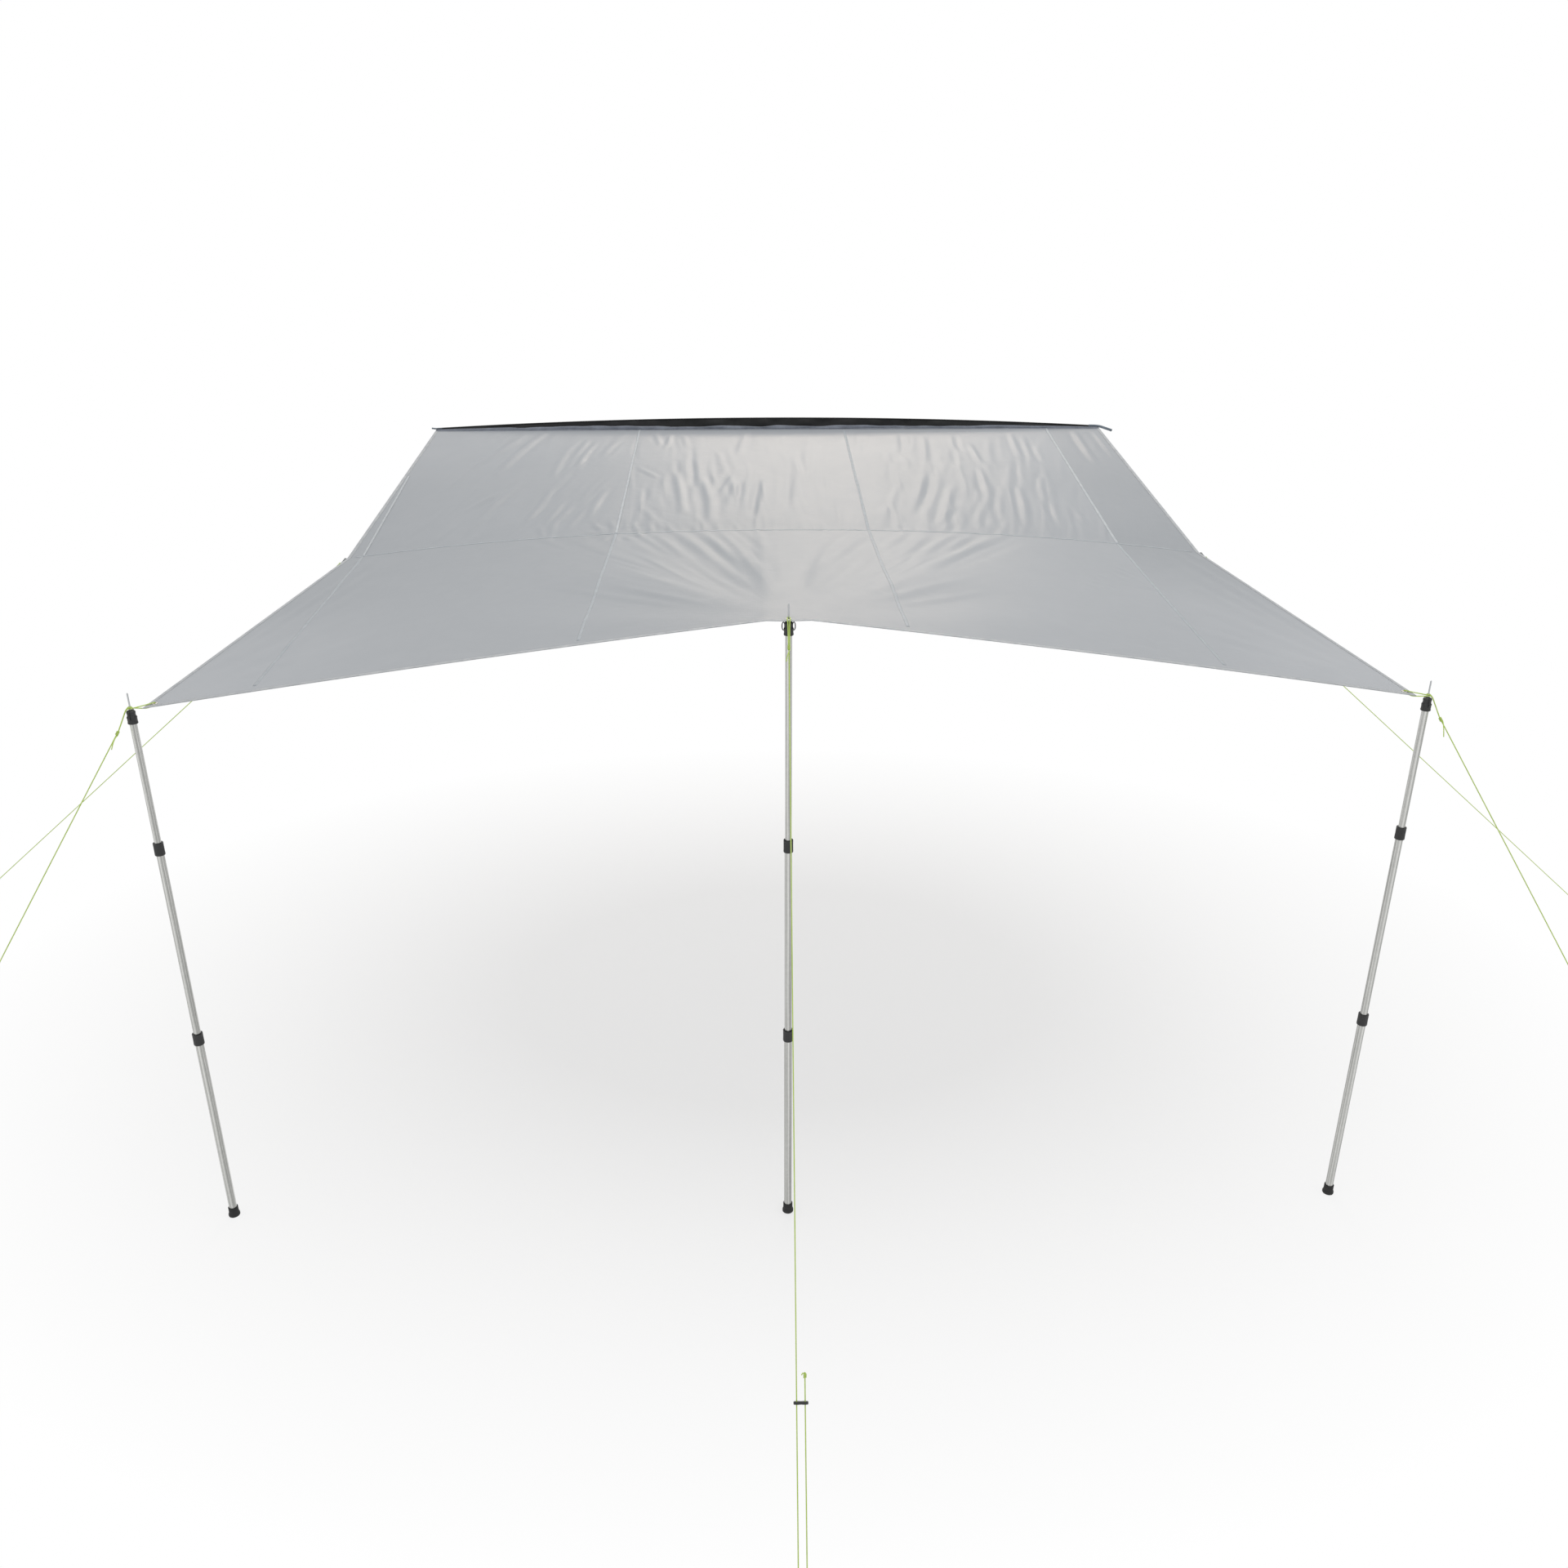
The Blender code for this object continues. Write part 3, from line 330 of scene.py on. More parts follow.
def white_floor():
    """A matt studio floor: pale under the object and white further off."""
    made, add = new_material("studio_floor_painted", Roughness=0.85, Base_Color=linear("#F4F4F4"))
    place = add("TexCoord", out="Object")
    place = add("Mapping", Vector=place, Location=(0, 1.3, 0), Scale=(0.8, 1, 0))
    far = add("VectorMath", [place], "Value", operation="LENGTH")
    fade = add("MapRange", Value=far, From_Min=1.0, From_Max=3.2, To_Min=0.56, To_Max=1.0)
    share = add("Math", [fade, seen_directly(add)], operation="MULTIPLY")
    nodes = made.node_tree.nodes
    both = add("MixShader", [share, nodes["Principled BSDF"].outputs[0], add("Emission")])
    made.node_tree.links.new(both, nodes["Material Output"].inputs["Surface"])
    return made


# ---------------------------------------------------------------- shapes


def show(name, mesh, finish, smooth=35):
    """Links a mesh as a piece with its finish, smooth except at edges sharper than the angle."""
    mesh.shade_smooth()
    mesh.set_sharp_from_angle(angle=math.radians(smooth))
    mesh.materials.append(finish)
    obj = bpy.data.objects.new(name, mesh)
    bpy.context.scene.collection.objects.link(obj)
    return obj


def as_mesh(name, bm, merge=None):
    """The bmesh as a mesh. Given a distance, its doubles are merged and its faces turned outwards."""
    if merge:
        bmesh.ops.remove_doubles(bm, verts=bm.verts, dist=merge)
        bmesh.ops.dissolve_degenerate(bm, edges=bm.edges, dist=merge)
        bmesh.ops.recalc_face_normals(bm, faces=bm.faces)
    mesh = bpy.data.meshes.new(name)
    bm.to_mesh(mesh)
    bm.free()
    return mesh


def as_bmesh(mesh, bm=None):
    """Moves the mesh into a bmesh, a new one unless one is given."""
    bm = bm or bmesh.new()
    bm.from_mesh(mesh)
    bpy.data.meshes.remove(mesh)
    return bm


def read(items, field, width=1, kind=float):
    """One field of all the vertices, corners or faces of a mesh, as an array."""
    flat = np.empty(len(items) * width, kind)
    items.foreach_get(field, flat)
    return flat.reshape(-1, width) if width > 1 else flat


def laid_grid(name, across, along, place, size):
    """A grid whose corner at (u, v), each 0 to 1, goes to place(u, v). Its UV map is in metres."""
    bm = bmesh.new()
    bmesh.ops.create_grid(bm, x_segments=across, y_segments=along, size=0.5)
    mesh = as_mesh(name, bm)
    flat = read(mesh.vertices, "co", 3)[:, :2] + 0.5
    mesh.vertices.foreach_set("co", place(flat[:, 0], flat[:, 1]).ravel())
    corners = read(mesh.loops, "vertex_index", kind=int)
    mesh.uv_layers.new(name="metres").data.foreach_set("uv", (flat * size)[corners].ravel())
    mesh.update()
    return mesh


def thicken(obj, thickness):
    made = obj.modifiers.new("thickness", "SOLIDIFY")
    made.thickness = thickness
    made.offset = 0
    return obj


def smooth_path(points, between, cyclic=False):
    """Points of a smooth curve through the given ones, with this many to a stretch."""
    given = np.array([tuple(p) for p in points], float)
    count = len(given)
    path = []
    for i in range(count if cyclic else count - 1):
        pick = [(i + k - 1) % count if cyclic else min(max(i + k - 1, 0), count - 1) for k in range(4)]
        a, b, c, d = given[pick]
        for t in np.arange(between) / between:
            curve = (2 * a - 5 * b + 4 * c - d) * t**2 + (3 * b - a - 3 * c + d) * t**3
            path.append(0.5 * (2 * b + (c - a) * t + curve))
    return np.array(path if cyclic else path + [given[-1]])


def frames_along(path, cyclic):
    """Unit vectors along the path and square to it at each of its points, turning as little as they can."""
    ahead = np.roll(path, -1, axis=0) - np.roll(path, 1, axis=0)
    if not cyclic:
        ahead[0], ahead[-1] = path[1] - path[0], path[-1] - path[-2]
    ahead /= np.linalg.norm(ahead, axis=1)[:, None]
    side = np.cross(ahead[0], (0, 0, 1) if abs(ahead[0][2]) < 0.9 else (1, 0, 0))
    sides = []
    for direction in ahead:
        side = unit(side - direction * side.dot(direction))
        sides.append(side)
    sides = np.array(sides)
    others = np.cross(ahead, sides)
    if cyclic:
        last = unit(sides[-1] - ahead[0] * sides[-1].dot(ahead[0]))
        twist = math.atan2(last.dot(others[0]), last.dot(sides[0]))
        angle = -twist * np.arange(len(path)) / len(path)
        cos, sin = np.cos(angle)[:, None], np.sin(angle)[:, None]
        sides, others = sides * cos + others * sin, others * cos - sides * sin
    return ahead, sides, others


def swept(name, path, diameter, finish, sides=10, cyclic=False, sizes=None, flat=1.0, up=None):
    """A round or flattened cord along the path, with rounded ends, and a UV map round and along it."""
    path = np.array([tuple(p) for p in path], float)
    radii = np.ones(len(path)) if sizes is None else np.array(sizes, float)
    if not cyclic:
        nose = diameter / 2 * radii[[0, -1]]
        first, last = unit(path[0] - path[1]), unit(path[-1] - path[-2])
        lead = [path[0] + first * nose[0] * s for s in (0.50, 0.38, 0.18)]
        trail = [path[-1] + last * nose[1] * s for s in (0.18, 0.38, 0.50)]
        path = np.concatenate([lead, path, trail])
        taper = np.array([0, 0.6, 0.9])
        radii = np.concatenate([radii[0] * taper, radii, radii[-1] * taper[::-1]])
    ahead, side, other = frames_along(path, cyclic)
    if up is not None:
        other = np.array([unit(np.asarray(up) - a * np.dot(up, a)) for a in ahead])
        side = np.cross(other, ahead)
    if cyclic:
        path, side, other, radii = (np.concatenate([x, x[:1]]) for x in (path, side, other, radii))

    def place(u, v):
        i = np.rint(v * (len(path) - 1)).astype(int)
        turn = 2 * math.pi * u
        radius = (radii[i] * diameter / 2)[:, None]
        return path[i] + radius * (np.cos(turn)[:, None] * side[i] + flat * np.sin(turn)[:, None] * other[i])

    mesh = laid_grid(name, sides, len(path) - 1, place, (math.pi * diameter, run_along(path)[-1]))
    return show(name, as_mesh(name, as_bmesh(mesh), diameter * 1e-4), finish, 50)


def spun_bmesh(profile, steps, closed=False):
    """A profile of (radius, height) points spun about Z."""
    bm = bmesh.new()
    verts = [bm.verts.new((radius, 0, height)) for radius, height in profile]
    pairs = list(zip(verts, verts[1:])) + ([(verts[-1], verts[0])] if closed else [])
    edges = [bm.edges.new(pair) for pair in pairs]
    bmesh.ops.spin(
        bm, geom=verts + edges, cent=(0, 0, 0), axis=(0, 0, 1), angle=2 * math.pi, steps=steps, use_merge=True
    )
    bmesh.ops.remove_doubles(bm, verts=bm.verts, dist=1e-6)
    return bm


def wrap_uv(bm, radius):
    """A UV map in metres: round the axis at the given radius, and up it."""
    uv = bm.loops.layers.uv.new("metres")
    for face in bm.faces:
        middle = face.calc_center_median()
        start = math.atan2(middle.y, middle.x)
        for loop in face.loops:
            x, y, z = loop.vert.co
            turn = math.atan2(y, x) - start if abs(x) + abs(y) > 1e-7 else 0
            turn = (turn + math.pi) % (2 * math.pi) - math.pi
            loop[uv].uv = ((start + turn) * radius, z)


def oriented(x_axis, z_axis, at):
    """The matrix that sets a piece at a place with its Z and, as nearly as it can, its X along the axes."""
    z = Vector(unit(z_axis))
    y = z.cross(Vector(tuple(x_axis))).normalized()
    matrix = Matrix((y.cross(z), y, z)).transposed().to_4x4()
    matrix.translation = Vector(tuple(at))
    return matrix


def node_middle(name):
    low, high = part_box(name)
    return (np.array(low) + np.array(high)) / 2


def ride_with(piece, node):
    """The piece rides on the node's body."""
    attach(piece, body_of(frame["nodes"][node])[0])
    return piece


def stand_in(piece, node):
    """The piece rides on the node's body and is shown in place of the node."""
    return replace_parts(ride_with(piece, node), node)


# ---------------------------------------------------------------- cloth form

# The drawn cloth's cells
ACROSS, ALONG = 348, 136


def half_width(b):
    rear = REAR_WIDTH / 2 + (KNEE_WIDTH - REAR_WIDTH) / 2 * b / KNEE_ROW
    front = KNEE_WIDTH / 2 + (TIP_WIDTH - KNEE_WIDTH) / 2 * (b - KNEE_ROW) / (1 - KNEE_ROW)
    return np.where(b <= KNEE_ROW, rear, front)


def front_reach(a):
    straight = CENTRE_REACH + (TIP_REACH - CENTRE_REACH) * abs(a)
    return straight - EDGE_HOLLOW * 4 * abs(a) * (1 - abs(a))


def reach(a, b):
    front = KNEE_REACH + (front_reach(a) - KNEE_REACH) * (b - KNEE_ROW) / (1 - KNEE_ROW)
    return np.where(b <= KNEE_ROW, KNEE_REACH * b / KNEE_ROW, front)


def on_cloth(x, out):
    """The (a, b) of the cloth at a place x along the rail and out from it."""
    x, out = np.asarray(x, float), np.asarray(out, float)
    b = KNEE_ROW * out / KNEE_REACH
    for _ in range(12):
        a = x / half_width(b)
        ahead = KNEE_ROW + (1 - KNEE_ROW) * (out - KNEE_REACH) / (front_reach(a) - KNEE_REACH)
        b = np.where(out <= KNEE_REACH, KNEE_ROW * out / KNEE_REACH, ahead)
    return x / half_width(b), b


# Creases seen on the cloth: x and distance out at both ends in cm, width in mm and height in 0.1 mm
CREASE_UNITS = (100, 100, 100, 100, 1000, 10000)
LEFT_PANEL = [
    (-113, 3, -130, 70, 19, 52), (-122, 7, -142, 56, 18, 46), (-136, 2, -144, 20, 15, 20),
    (-114, 78, -129, 124, 18, 42), (-121, 88, -137, 114, 16, 32), (-91, 17, -96, 47, 15, 30),
    (-86, 20, -92, 65, 16, 34), (-98, 28, -102, 76, 16, 28), (-100, 87, -107, 130, 15, 34),
    (-88, 112, -97, 142, 14, 36), (-81, 115, -88, 142, 14, 32), (-92, 102, -99, 140, 14, 30),
    (-102, 110, -108, 133, 13, 24), (-75, 90, -80, 130, 15, 22),
]
MIDDLE = [
    (-58, 2, -54, 30, 13, 26), (-50, 7, -52, 35, 13, 30), (-44, 10, -41, 34, 13, 26),
    (-64, 62, -52, 80, 13, 30), (-39, 50, -37, 94, 15, -42), (-45, 70, -39, 130, 18, 56),
    (-33, 78, -28, 140, 21, 58), (-20, 72, -26, 102, 18, -46), (-6, 74, -11, 134, 21, -62),
    (-17, 85, -20, 118, 16, 30), (-11, 3, -16, 48, 18, 30), (8, 50, 4, 128, 24, -56),
    (20, 10, 17, 70, 20, 28), (66, 10, 63, 46, 15, -34), (77, 12, 72, 60, 16, 42),
    (94, 12, 93, 40, 14, -34), (99, 26, 100, 58, 14, 34), (123, 8, 121, 46, 14, 36),
    (131, 12, 129, 54, 14, -32), (75, 64, 60, 132, 21, -68), (57, 88, 49, 125, 16, 38),
    (82, 88, 70, 148, 19, 54), (98, 62, 96, 102, 15, 40), (102, 86, 94, 142, 17, -54),
    (112, 86, 106, 138, 16, 50), (125, 72, 121, 110, 15, 38), (124, 98, 120, 138, 14, -36),
    (132, 105, 135, 136, 13, 26),
]
FAN = [
    (96, 147, 51, 214, 25, 64), (85, 150, 67, 186, 19, -40), (76, 148, 56, 186, 18, 42),
    (68, 149, 46, 205, 18, -38), (56, 147, 40, 184, 18, 40), (40, 148, 16, 212, 20, 44),
    (30, 152, 15, 194, 16, -26), (104, 154, 62, 212, 18, -22), (-24, 150, -10, 222, 21, 50),
    (-43, 146, -24, 207, 21, 46), (-38, 142, -14, 230, 18, -44), (-17, 147, -9, 191, 17, -38),
    (-9, 147, -5, 202, 18, 30), (-31, 148, -15, 210, 17, 34), (-52, 150, -34, 200, 18, 24),
    (-60, 152, -43, 192, 18, -18), (-58, 118, -47, 148, 15, 22), (80, 114, 66, 146, 16, 34),
    (95, 105, 84, 144, 16, 34),
]
RIGHT_CORNER = [
    (156, 3, 157, 54, 17, 60), (166, 3, 168, 46, 13, 50), (167, 146, 175, 162, 12, 12),
    (-167, 146, -175, 162, 12, 12),
]


def strokes():
    """Every tension crease: the ones seen, and smaller ones of the same kinds between them."""
    rng = np.random.default_rng(11)
    made = []

    def crease(x0, y0, x1, y1, width, height, bend=0.0):
        made.append((x0, y0, x1, y1, width, height, bend))

    def ray(x, y, turn, near, far, *form):
        """A crease between two distances from a place, turned from straight out."""
        dx, dy = math.sin(turn), math.cos(turn)
        crease(x + near * dx, y + near * dy, x + far * dx, y + far * dy, *form)

    for table, strength in ((LEFT_PANEL, 1.5), (MIDDLE, 1.25), (RIGHT_CORNER, 1.4)):
        for *ends, width, height in np.array(table) / CREASE_UNITS:
            crease(*ends, width, height * strength, rng.uniform(-0.03, 0.03))
    for row in np.array(FAN) / CREASE_UNITS:
        crease(*row, -0.012 * math.copysign(1, row[0]))
    # Small creases down from the rail, leaning out on the left panel and in towards the pole elsewhere.
    for x in np.linspace(-1.05, 1.40, 58):
        x0, y0 = x + rng.uniform(-0.03, 0.03), rng.uniform(0.02, 1.0)
        length = rng.uniform(0.18, 0.50)
        lean = -0.26 if x0 < SEAMS[1] else -0.13 * x0
        y1 = min(y0 + length, 1.46)
        crease(x0, y0, x0 + (lean + rng.uniform(-0.07, 0.07)) * (y1 - y0), y1, rng.uniform(0.010, 0.016),
               rng.choice((-1, 1)) * rng.uniform(0.0012, 0.0030), rng.uniform(-0.05, 0.05))
    # Small crumples that stand against the cross seam.
    for x in np.linspace(-1.00, 1.30, 26):
        x0, y0 = x + rng.uniform(-0.03, 0.03), rng.uniform(1.28, 1.42)
        crease(x0, y0, x0 + rng.uniform(-0.05, 0.05) - 0.05 * x0, rng.uniform(1.50, 1.60),
               rng.uniform(0.009, 0.014), rng.uniform(0.0012, 0.0028))
    # Faint rays round the centre pole.
    for angle in np.linspace(-48, 48, 15):
        turn = math.pi - math.radians(angle + rng.uniform(-2, 2))
        ray(0, CENTRE_POLE_REACH, turn, rng.uniform(0.26, 0.50), rng.uniform(0.80, 1.25),
            rng.uniform(0.016, 0.026), rng.uniform(0.0010, 0.0024))
    # Long shallow folds from each tip beside the outer edge.
    for side in (-1, 1):
        for spread, length, width, height in (
            (0.10, 1.30, 0.022, 0.0022), (0.18, 1.10, 0.026, 0.0018), (0.30, 0.95, 0.030, 0.0015),
            (0.55, 0.80, 0.034, 0.0012), (0.95, 0.70, 0.030, 0.0010),
        ):
            bend = rng.uniform(-0.02, 0.02) * side
            ray(side * 2.02, 2.86, side * (0.19 + spread * 0.9), -0.16, -0.16 - length, width, height, bend)
    # Puckers across the sewn seams.
    for seam in SEAMS:
        for out in np.arange(0.12, 2.80, 0.085):
            y = out + rng.uniform(-0.02, 0.02)
            turn, half = math.pi / 2 - rng.uniform(-0.5, 0.5), rng.uniform(0.025, 0.050)
            ray(seam, y, turn, -half, half, rng.uniform(0.010, 0.016),
                rng.uniform(0.0004, 0.0011) * (1.0 if out < 1.6 else 0.6))
    # A star of puckers where the left seam crosses the cross seam, and crumples near the right seam.
    for angle in np.arange(0, 360, 36):
        ray(SEAMS[1], KNEE_REACH, math.radians(angle + rng.uniform(-8, 8)), 0, 0.15, 0.014, 0.0026)
    for _ in range(10):
        ray(rng.uniform(1.12, 1.38), rng.uniform(1.80, 2.10), rng.uniform(0.2, 1.2), 0, 0.12, 0.011, 0.0017)
    return made


def crease_height(x, out):
    """The creases' height over the cloth's plain form."""
    total = np.zeros_like(x)
    for x0, y0, x1, y1, width, height, bend in strokes():
        length = math.hypot(x1 - x0, y1 - y0)
        dx, dy = (x1 - x0) / length, (y1 - y0) / length
        t = ((x - x0) * dx + (out - y0) * dy) / length
        near = (t > 0) & (t < 1)
        arch = np.sin(math.pi * t[near])
        s = (((x[near] - x0) * dy - (out[near] - y0) * dx) - bend * length * arch) / width
        ridge = np.exp(-(s**2)) - 0.42 * (np.exp(-((s - 1.7) ** 2)) + np.exp(-((s + 1.7) ** 2)))
        total[near] += height * arch**0.8 * ridge
    return total


def plain_height(a, b):
    """The cloth's height above the ground before its creases."""
    x = a * half_width(b)
    back = CENTRE_POLE_REACH - reach(a, b)
    near = np.sin(math.pi * np.minimum(np.hypot(x, back) / FOLD_REACH, 1)) ** 2
    fold = FOLD_DEPTH * near * np.cos(2 * FOLD_COUNT * np.arctan2(x, back)) * (1 - b) * (1 - a * a) * 4
    rear = RAIL_HEIGHT - RAIL_ARCH
    seam = SEAM_HEIGHT - (SEAM_HEIGHT - KNEE_HEIGHT) * abs(a) ** SEAM_DROOP
    slope = np.maximum(0, (abs(a) - PLATEAU) / (1 - PLATEAU))
    front = CENTRE_PIVOT_HEIGHT + (SIDE_PIVOT_HEIGHT - CENTRE_PIVOT_HEIGHT) * slope
    low = rear + (seam - rear) * b / KNEE_ROW
    high = seam + (front - seam) * (b - KNEE_ROW) / (1 - KNEE_ROW)
    return np.where(b <= KNEE_ROW, low, high) + fold


def height_grid():
    """The cloth's height at the corners of its cells, calm at its edges and round the poles."""
    a, b = np.meshgrid(np.linspace(-1, 1, ACROSS + 1), np.linspace(0, 1, ALONG + 1), indexing="ij")
    x, out = a * half_width(b), reach(a, b)
    calm = ease((1 - abs(a)) * half_width(b) / 0.06) * ease((1 - b) / 0.03)
    calm = calm * (0.35 + 0.65 * ease(b / 0.03))
    for pole_x, pole_out, _, _ in POLES.values():
        calm = calm * ease((np.hypot(x - pole_x, out - pole_out) - 0.09) / 0.16)
    return plain_height(a, b) + crease_height(x, out) * calm


HEIGHTS = height_grid()


def cloth_at(a, b, lift=0.0):
    """The middle of the cloth at (a, b), or a lift square to it."""
    a, b = np.broadcast_arrays(np.asarray(a, float), np.asarray(b, float))

    def point(a, b):
        i, j = (np.clip(a, -1, 1) + 1) / 2 * ACROSS, np.clip(b, 0, 1) * ALONG
        i0, j0 = np.minimum(i.astype(int), ACROSS - 1), np.minimum(j.astype(int), ALONG - 1)
        s, t = i - i0, j - j0
        near = HEIGHTS[i0, j0] * (1 - s) + HEIGHTS[i0 + 1, j0] * s
        far = HEIGHTS[i0, j0 + 1] * (1 - s) + HEIGHTS[i0 + 1, j0 + 1] * s
        return np.stack([a * half_width(b), -reach(a, b), GROUND + near * (1 - t) + far * t], axis=-1)

    here = point(a, b)
    if np.any(lift):
        step = 1e-3
        toward = np.where(a > 0, -step, step)
        down = np.where(b > 0.5, -step, step)
        u = (point(a + toward, b) - here) * np.sign(toward)[..., None]
        v = (point(a, b + down) - here) * np.sign(down)[..., None]
        normal = np.cross(v, u)
        normal /= np.linalg.norm(normal, axis=-1)[..., None]
        here = here + normal * np.asarray(lift)[..., None]
    return here


def cloth_normal(x, out):
    a, b = on_cloth(x, out)
    return unit(cloth_at(a, b, 0.01) - cloth_at(a, b))


set_camera()

# Silver-grey satin with painted light and shade, matt tapes a little lighter or darker than it, and dark
# webbing
CLOTH_GREY = coated_polyester()
SEAM_TAPE = sewn_tape("seam_polyester_felled", "#D3D8DC", "#C4CACF", (0.2, 0.8), 0.012)
# The next two tapes are darker copies of the seam tape: painted shade. The second also makes the cross seam.
SHADED_SEAM_TAPE = sewn_tape("seam_polyester_painted_shade", "#C0C5CA", "#B6BBC0", (0.2, 0.8), 0.011)
CROSS_AND_SHADED_SEAM_TAPE = sewn_tape("cross_seam_polyester_and_painted_shade", "#BCC3C9", "#B0B7BD", (0.2, 0.8), 0.011)
HEM_TAPE = sewn_tape("hem_polyester_folded", "#C8CBCD", "#B5B9BD", (0.08, 0.46, 0.92), 0.066)
REAR_HEM = sewn_tape("rear_hem_polyester_folded", "#8D93A0", "#7A808C", (0.15, 0.85), 0.022)
PATCH = sewn_tape("patch_polyester_sewn", "#A9ADB0", "#94999D", (0.88, 0.95), 0.12)
WEBBING = sewn_tape("webbing_polyester_woven", "#6F7375", "#5A5E60", (0.15, 0.85), 0.025)
# A soft shine along the bead and the flap's waves
KEDER_BLACK = coated_keder("black_pvc_coated_keder", "#08090A", "#18191B", 0.44)
KEDER_GREY = coated_keder("grey_pvc_coated_keder", "#6F7A85", "#8A949E", 0.50)
# Satin tubes with long light and dark bands of painted reflection, blue-white steel and warm bright nickel
ALUMINIUM = drawn_metal("aluminium_drawn_satin", "#DADAD7", "#959693", 0.30, 3.0, bands=1.0)
ZINC_STEEL = drawn_metal("steel_zinc_plated", "#C9CBCC", "#A4A7AA", 0.30, 12.0)
NICKEL = drawn_metal("brass_nickel_plated", "#D8D4CB", "#BDB9B0", 0.24, 40.0)
# Half-matt black caps and collars, dull feet and milky collets
BLACK_NYLON = moulded("black_nylon_moulded", "#242527", "#161718", 0.42, 0.0006)
BLACK_RUBBER = moulded("black_rubber_vulcanised", "#2A2A2B", "#19191A", 0.74, 0.0012)
WHITE_ACETAL = moulded("white_acetal_moulded", "#E4E4DF", "#D8D8D2", 0.36, 0.0008, 1.48)
CORD = braided_cord()


# ---------------------------------------------------------------- guy lines


def guy_route(start, target):
    """The line's centre from its knot round the peg and back, and the directions it lies in."""
    run = unit(target - start)
    across = unit(np.cross((0, 0, 1), run))
    turn = LEG_GAP / 2
    near = target + across * turn + run * (PEG_WIRE / 2 + ROPE / 2 + FIT - turn)
    leg = (near - start).dot(run)
    back = near + across * turn
    points = [start + run * leg * t for t in np.linspace(0, 1, 13)]
    half_turn = np.linspace(0, math.pi, 12)[1:]
    points += [near + turn * (run * math.sin(t) - across * math.cos(t)) for t in half_turn]
    points += [back - run * (TAIL_LENGTH + 0.01) * t for t in (0.15, 0.3, 0.5, 0.7, 0.85, 1)]
    return np.array(points), run, across, near, back


def coil_knot(name, at, along, turns=4, tail=0.035):
    """A knot of close turns round the line, with its end hanging free."""
    side = unit(np.cross(along, (0.3, 0.9, 0.2)))
    other = np.cross(along, side)
    path = []
    for turn in np.linspace(0, 1, turns * 14 + 1) * turns:
        angle = 2 * math.pi * turn
        path.append(at + ROPE * (along * 1.02 * turn + math.cos(angle) * side + math.sin(angle) * other))
    away, fall = unit(other + along * 0.6), np.array([0, 0, -0.8])
    path += [path[-1] + tail * t * (away + fall * t) for t in (0.15, 0.35, 0.6, 0.8, 1.0)]
    return swept(name, path, ROPE * 0.92, CORD, 8)


def guy_line(name, start, target):
    """A whole guy line: its rope, knots, runner and peg."""
    line = "guy_line_" + name
    points, run, across, near, back = guy_route(start, target)
    rope = stand_in(swept("guy_rope_" + name, points, ROPE, CORD, 8), line)
    knot = ride_with(coil_knot("guy_knot_" + name, start + run * 0.001, run), line)
    end = back - run * (TAIL_LENGTH - 0.004)
    stop = ride_with(coil_knot("guy_stop_knot_" + name, end, -run, 3, 0.018), line)
    slide = runner(name, near - run * RUNNER_FROM_PEG, across, run)
    ground_peg(name, target + across * LEG_GAP / 2, run, np.cross(run, across))


def runner(name, centre, across, run):
    """The two-hole slide: a bar with round ends, a waist between its holes and softened edges."""
    bm = bmesh.new()
    rims = {-1: [], 1: []}

    def wall(x, y, middle, edge):
        """An upright wall round (x, y), its edges drawn in by each (inset, height below)."""
        loops = []
        for inset, z in edge + [(inset, -z) for inset, z in edge[::-1]]:
            size = 1 - inset / np.hypot(x, y)
            loops.append([bm.verts.new((middle + px, py, z)) for px, py in zip(x * size, y * size)])
        for low, high in zip(loops, loops[1:]):
            for k in range(len(low)):
                bm.faces.new((low[k - 1], low[k], high[k], high[k - 1]))
        for end, loop in ((-1, loops[0]), (1, loops[-1])):
            rims[end] += [bm.edges.get((loop[k - 1], loop[k])) for k in range(len(loop))]

    turn = np.linspace(0, 2 * math.pi, 57)[:-1]
    x = 0.021 * np.sign(np.cos(turn)) * abs(np.cos(turn)) ** 0.6
    y = 0.007 * np.sign(np.sin(turn)) * abs(np.sin(turn)) ** 0.6 * (1 - 0.24 * np.exp(-((x / 0.006) ** 2)))
    wall(x, y, 0, [(0.0010, -0.0035), (0.0003, -0.0032), (0, -0.0025)])
    turn = np.linspace(0, 2 * math.pi, 25)[:-1]
    for side in (-1, 1):
        hole = 0.0026 * np.cos(turn), 0.0026 * np.sin(turn)
        wall(*hole, side * LEG_GAP / 2, [(-0.0006, -0.0035), (-0.0001, -0.0030), (0, -0.0022)])
    for edges in rims.values():
        bmesh.ops.triangle_fill(bm, use_beauty=True, edges=edges)
    mesh = as_mesh("guy_slide_" + name, bm, 1e-6)
    mesh.transform(oriented(across, run, centre))
    return stand_in(show("guy_slide_" + name, mesh, BLACK_NYLON, 40), "guy_runner_" + name)


def ground_peg(name, peg, run, rise):
    """A zinc-plated peg with its hook, driven in square to the line."""
    bend = peg + rise * PEG_ABOVE + run * PEG_HOOK_RADIUS
    points = [peg - rise * (PEG_LENGTH - PEG_ABOVE - x) for x in (0, PEG_POINT * 0.5, PEG_POINT)]
    points += [peg - rise * PEG_LENGTH * t for t in (0.6, 0.4, 0.2)] + [peg + rise * PEG_ABOVE * 0.5]
    points += [
        bend + PEG_HOOK_RADIUS * (rise * math.sin(t) - run * math.cos(t)) for t in np.linspace(0, math.pi, 15)
    ]
    points.append(points[-1] - rise * PEG_HOOK_RADIUS * 0.8)
    sizes = [0.12, 0.62] + [1] * (len(points) - 2)
    made = swept("tent_peg_" + name, points, PEG_WIRE, ZINC_STEEL, 14, sizes=sizes)
    stand_in(made, "ground_peg_" + name)


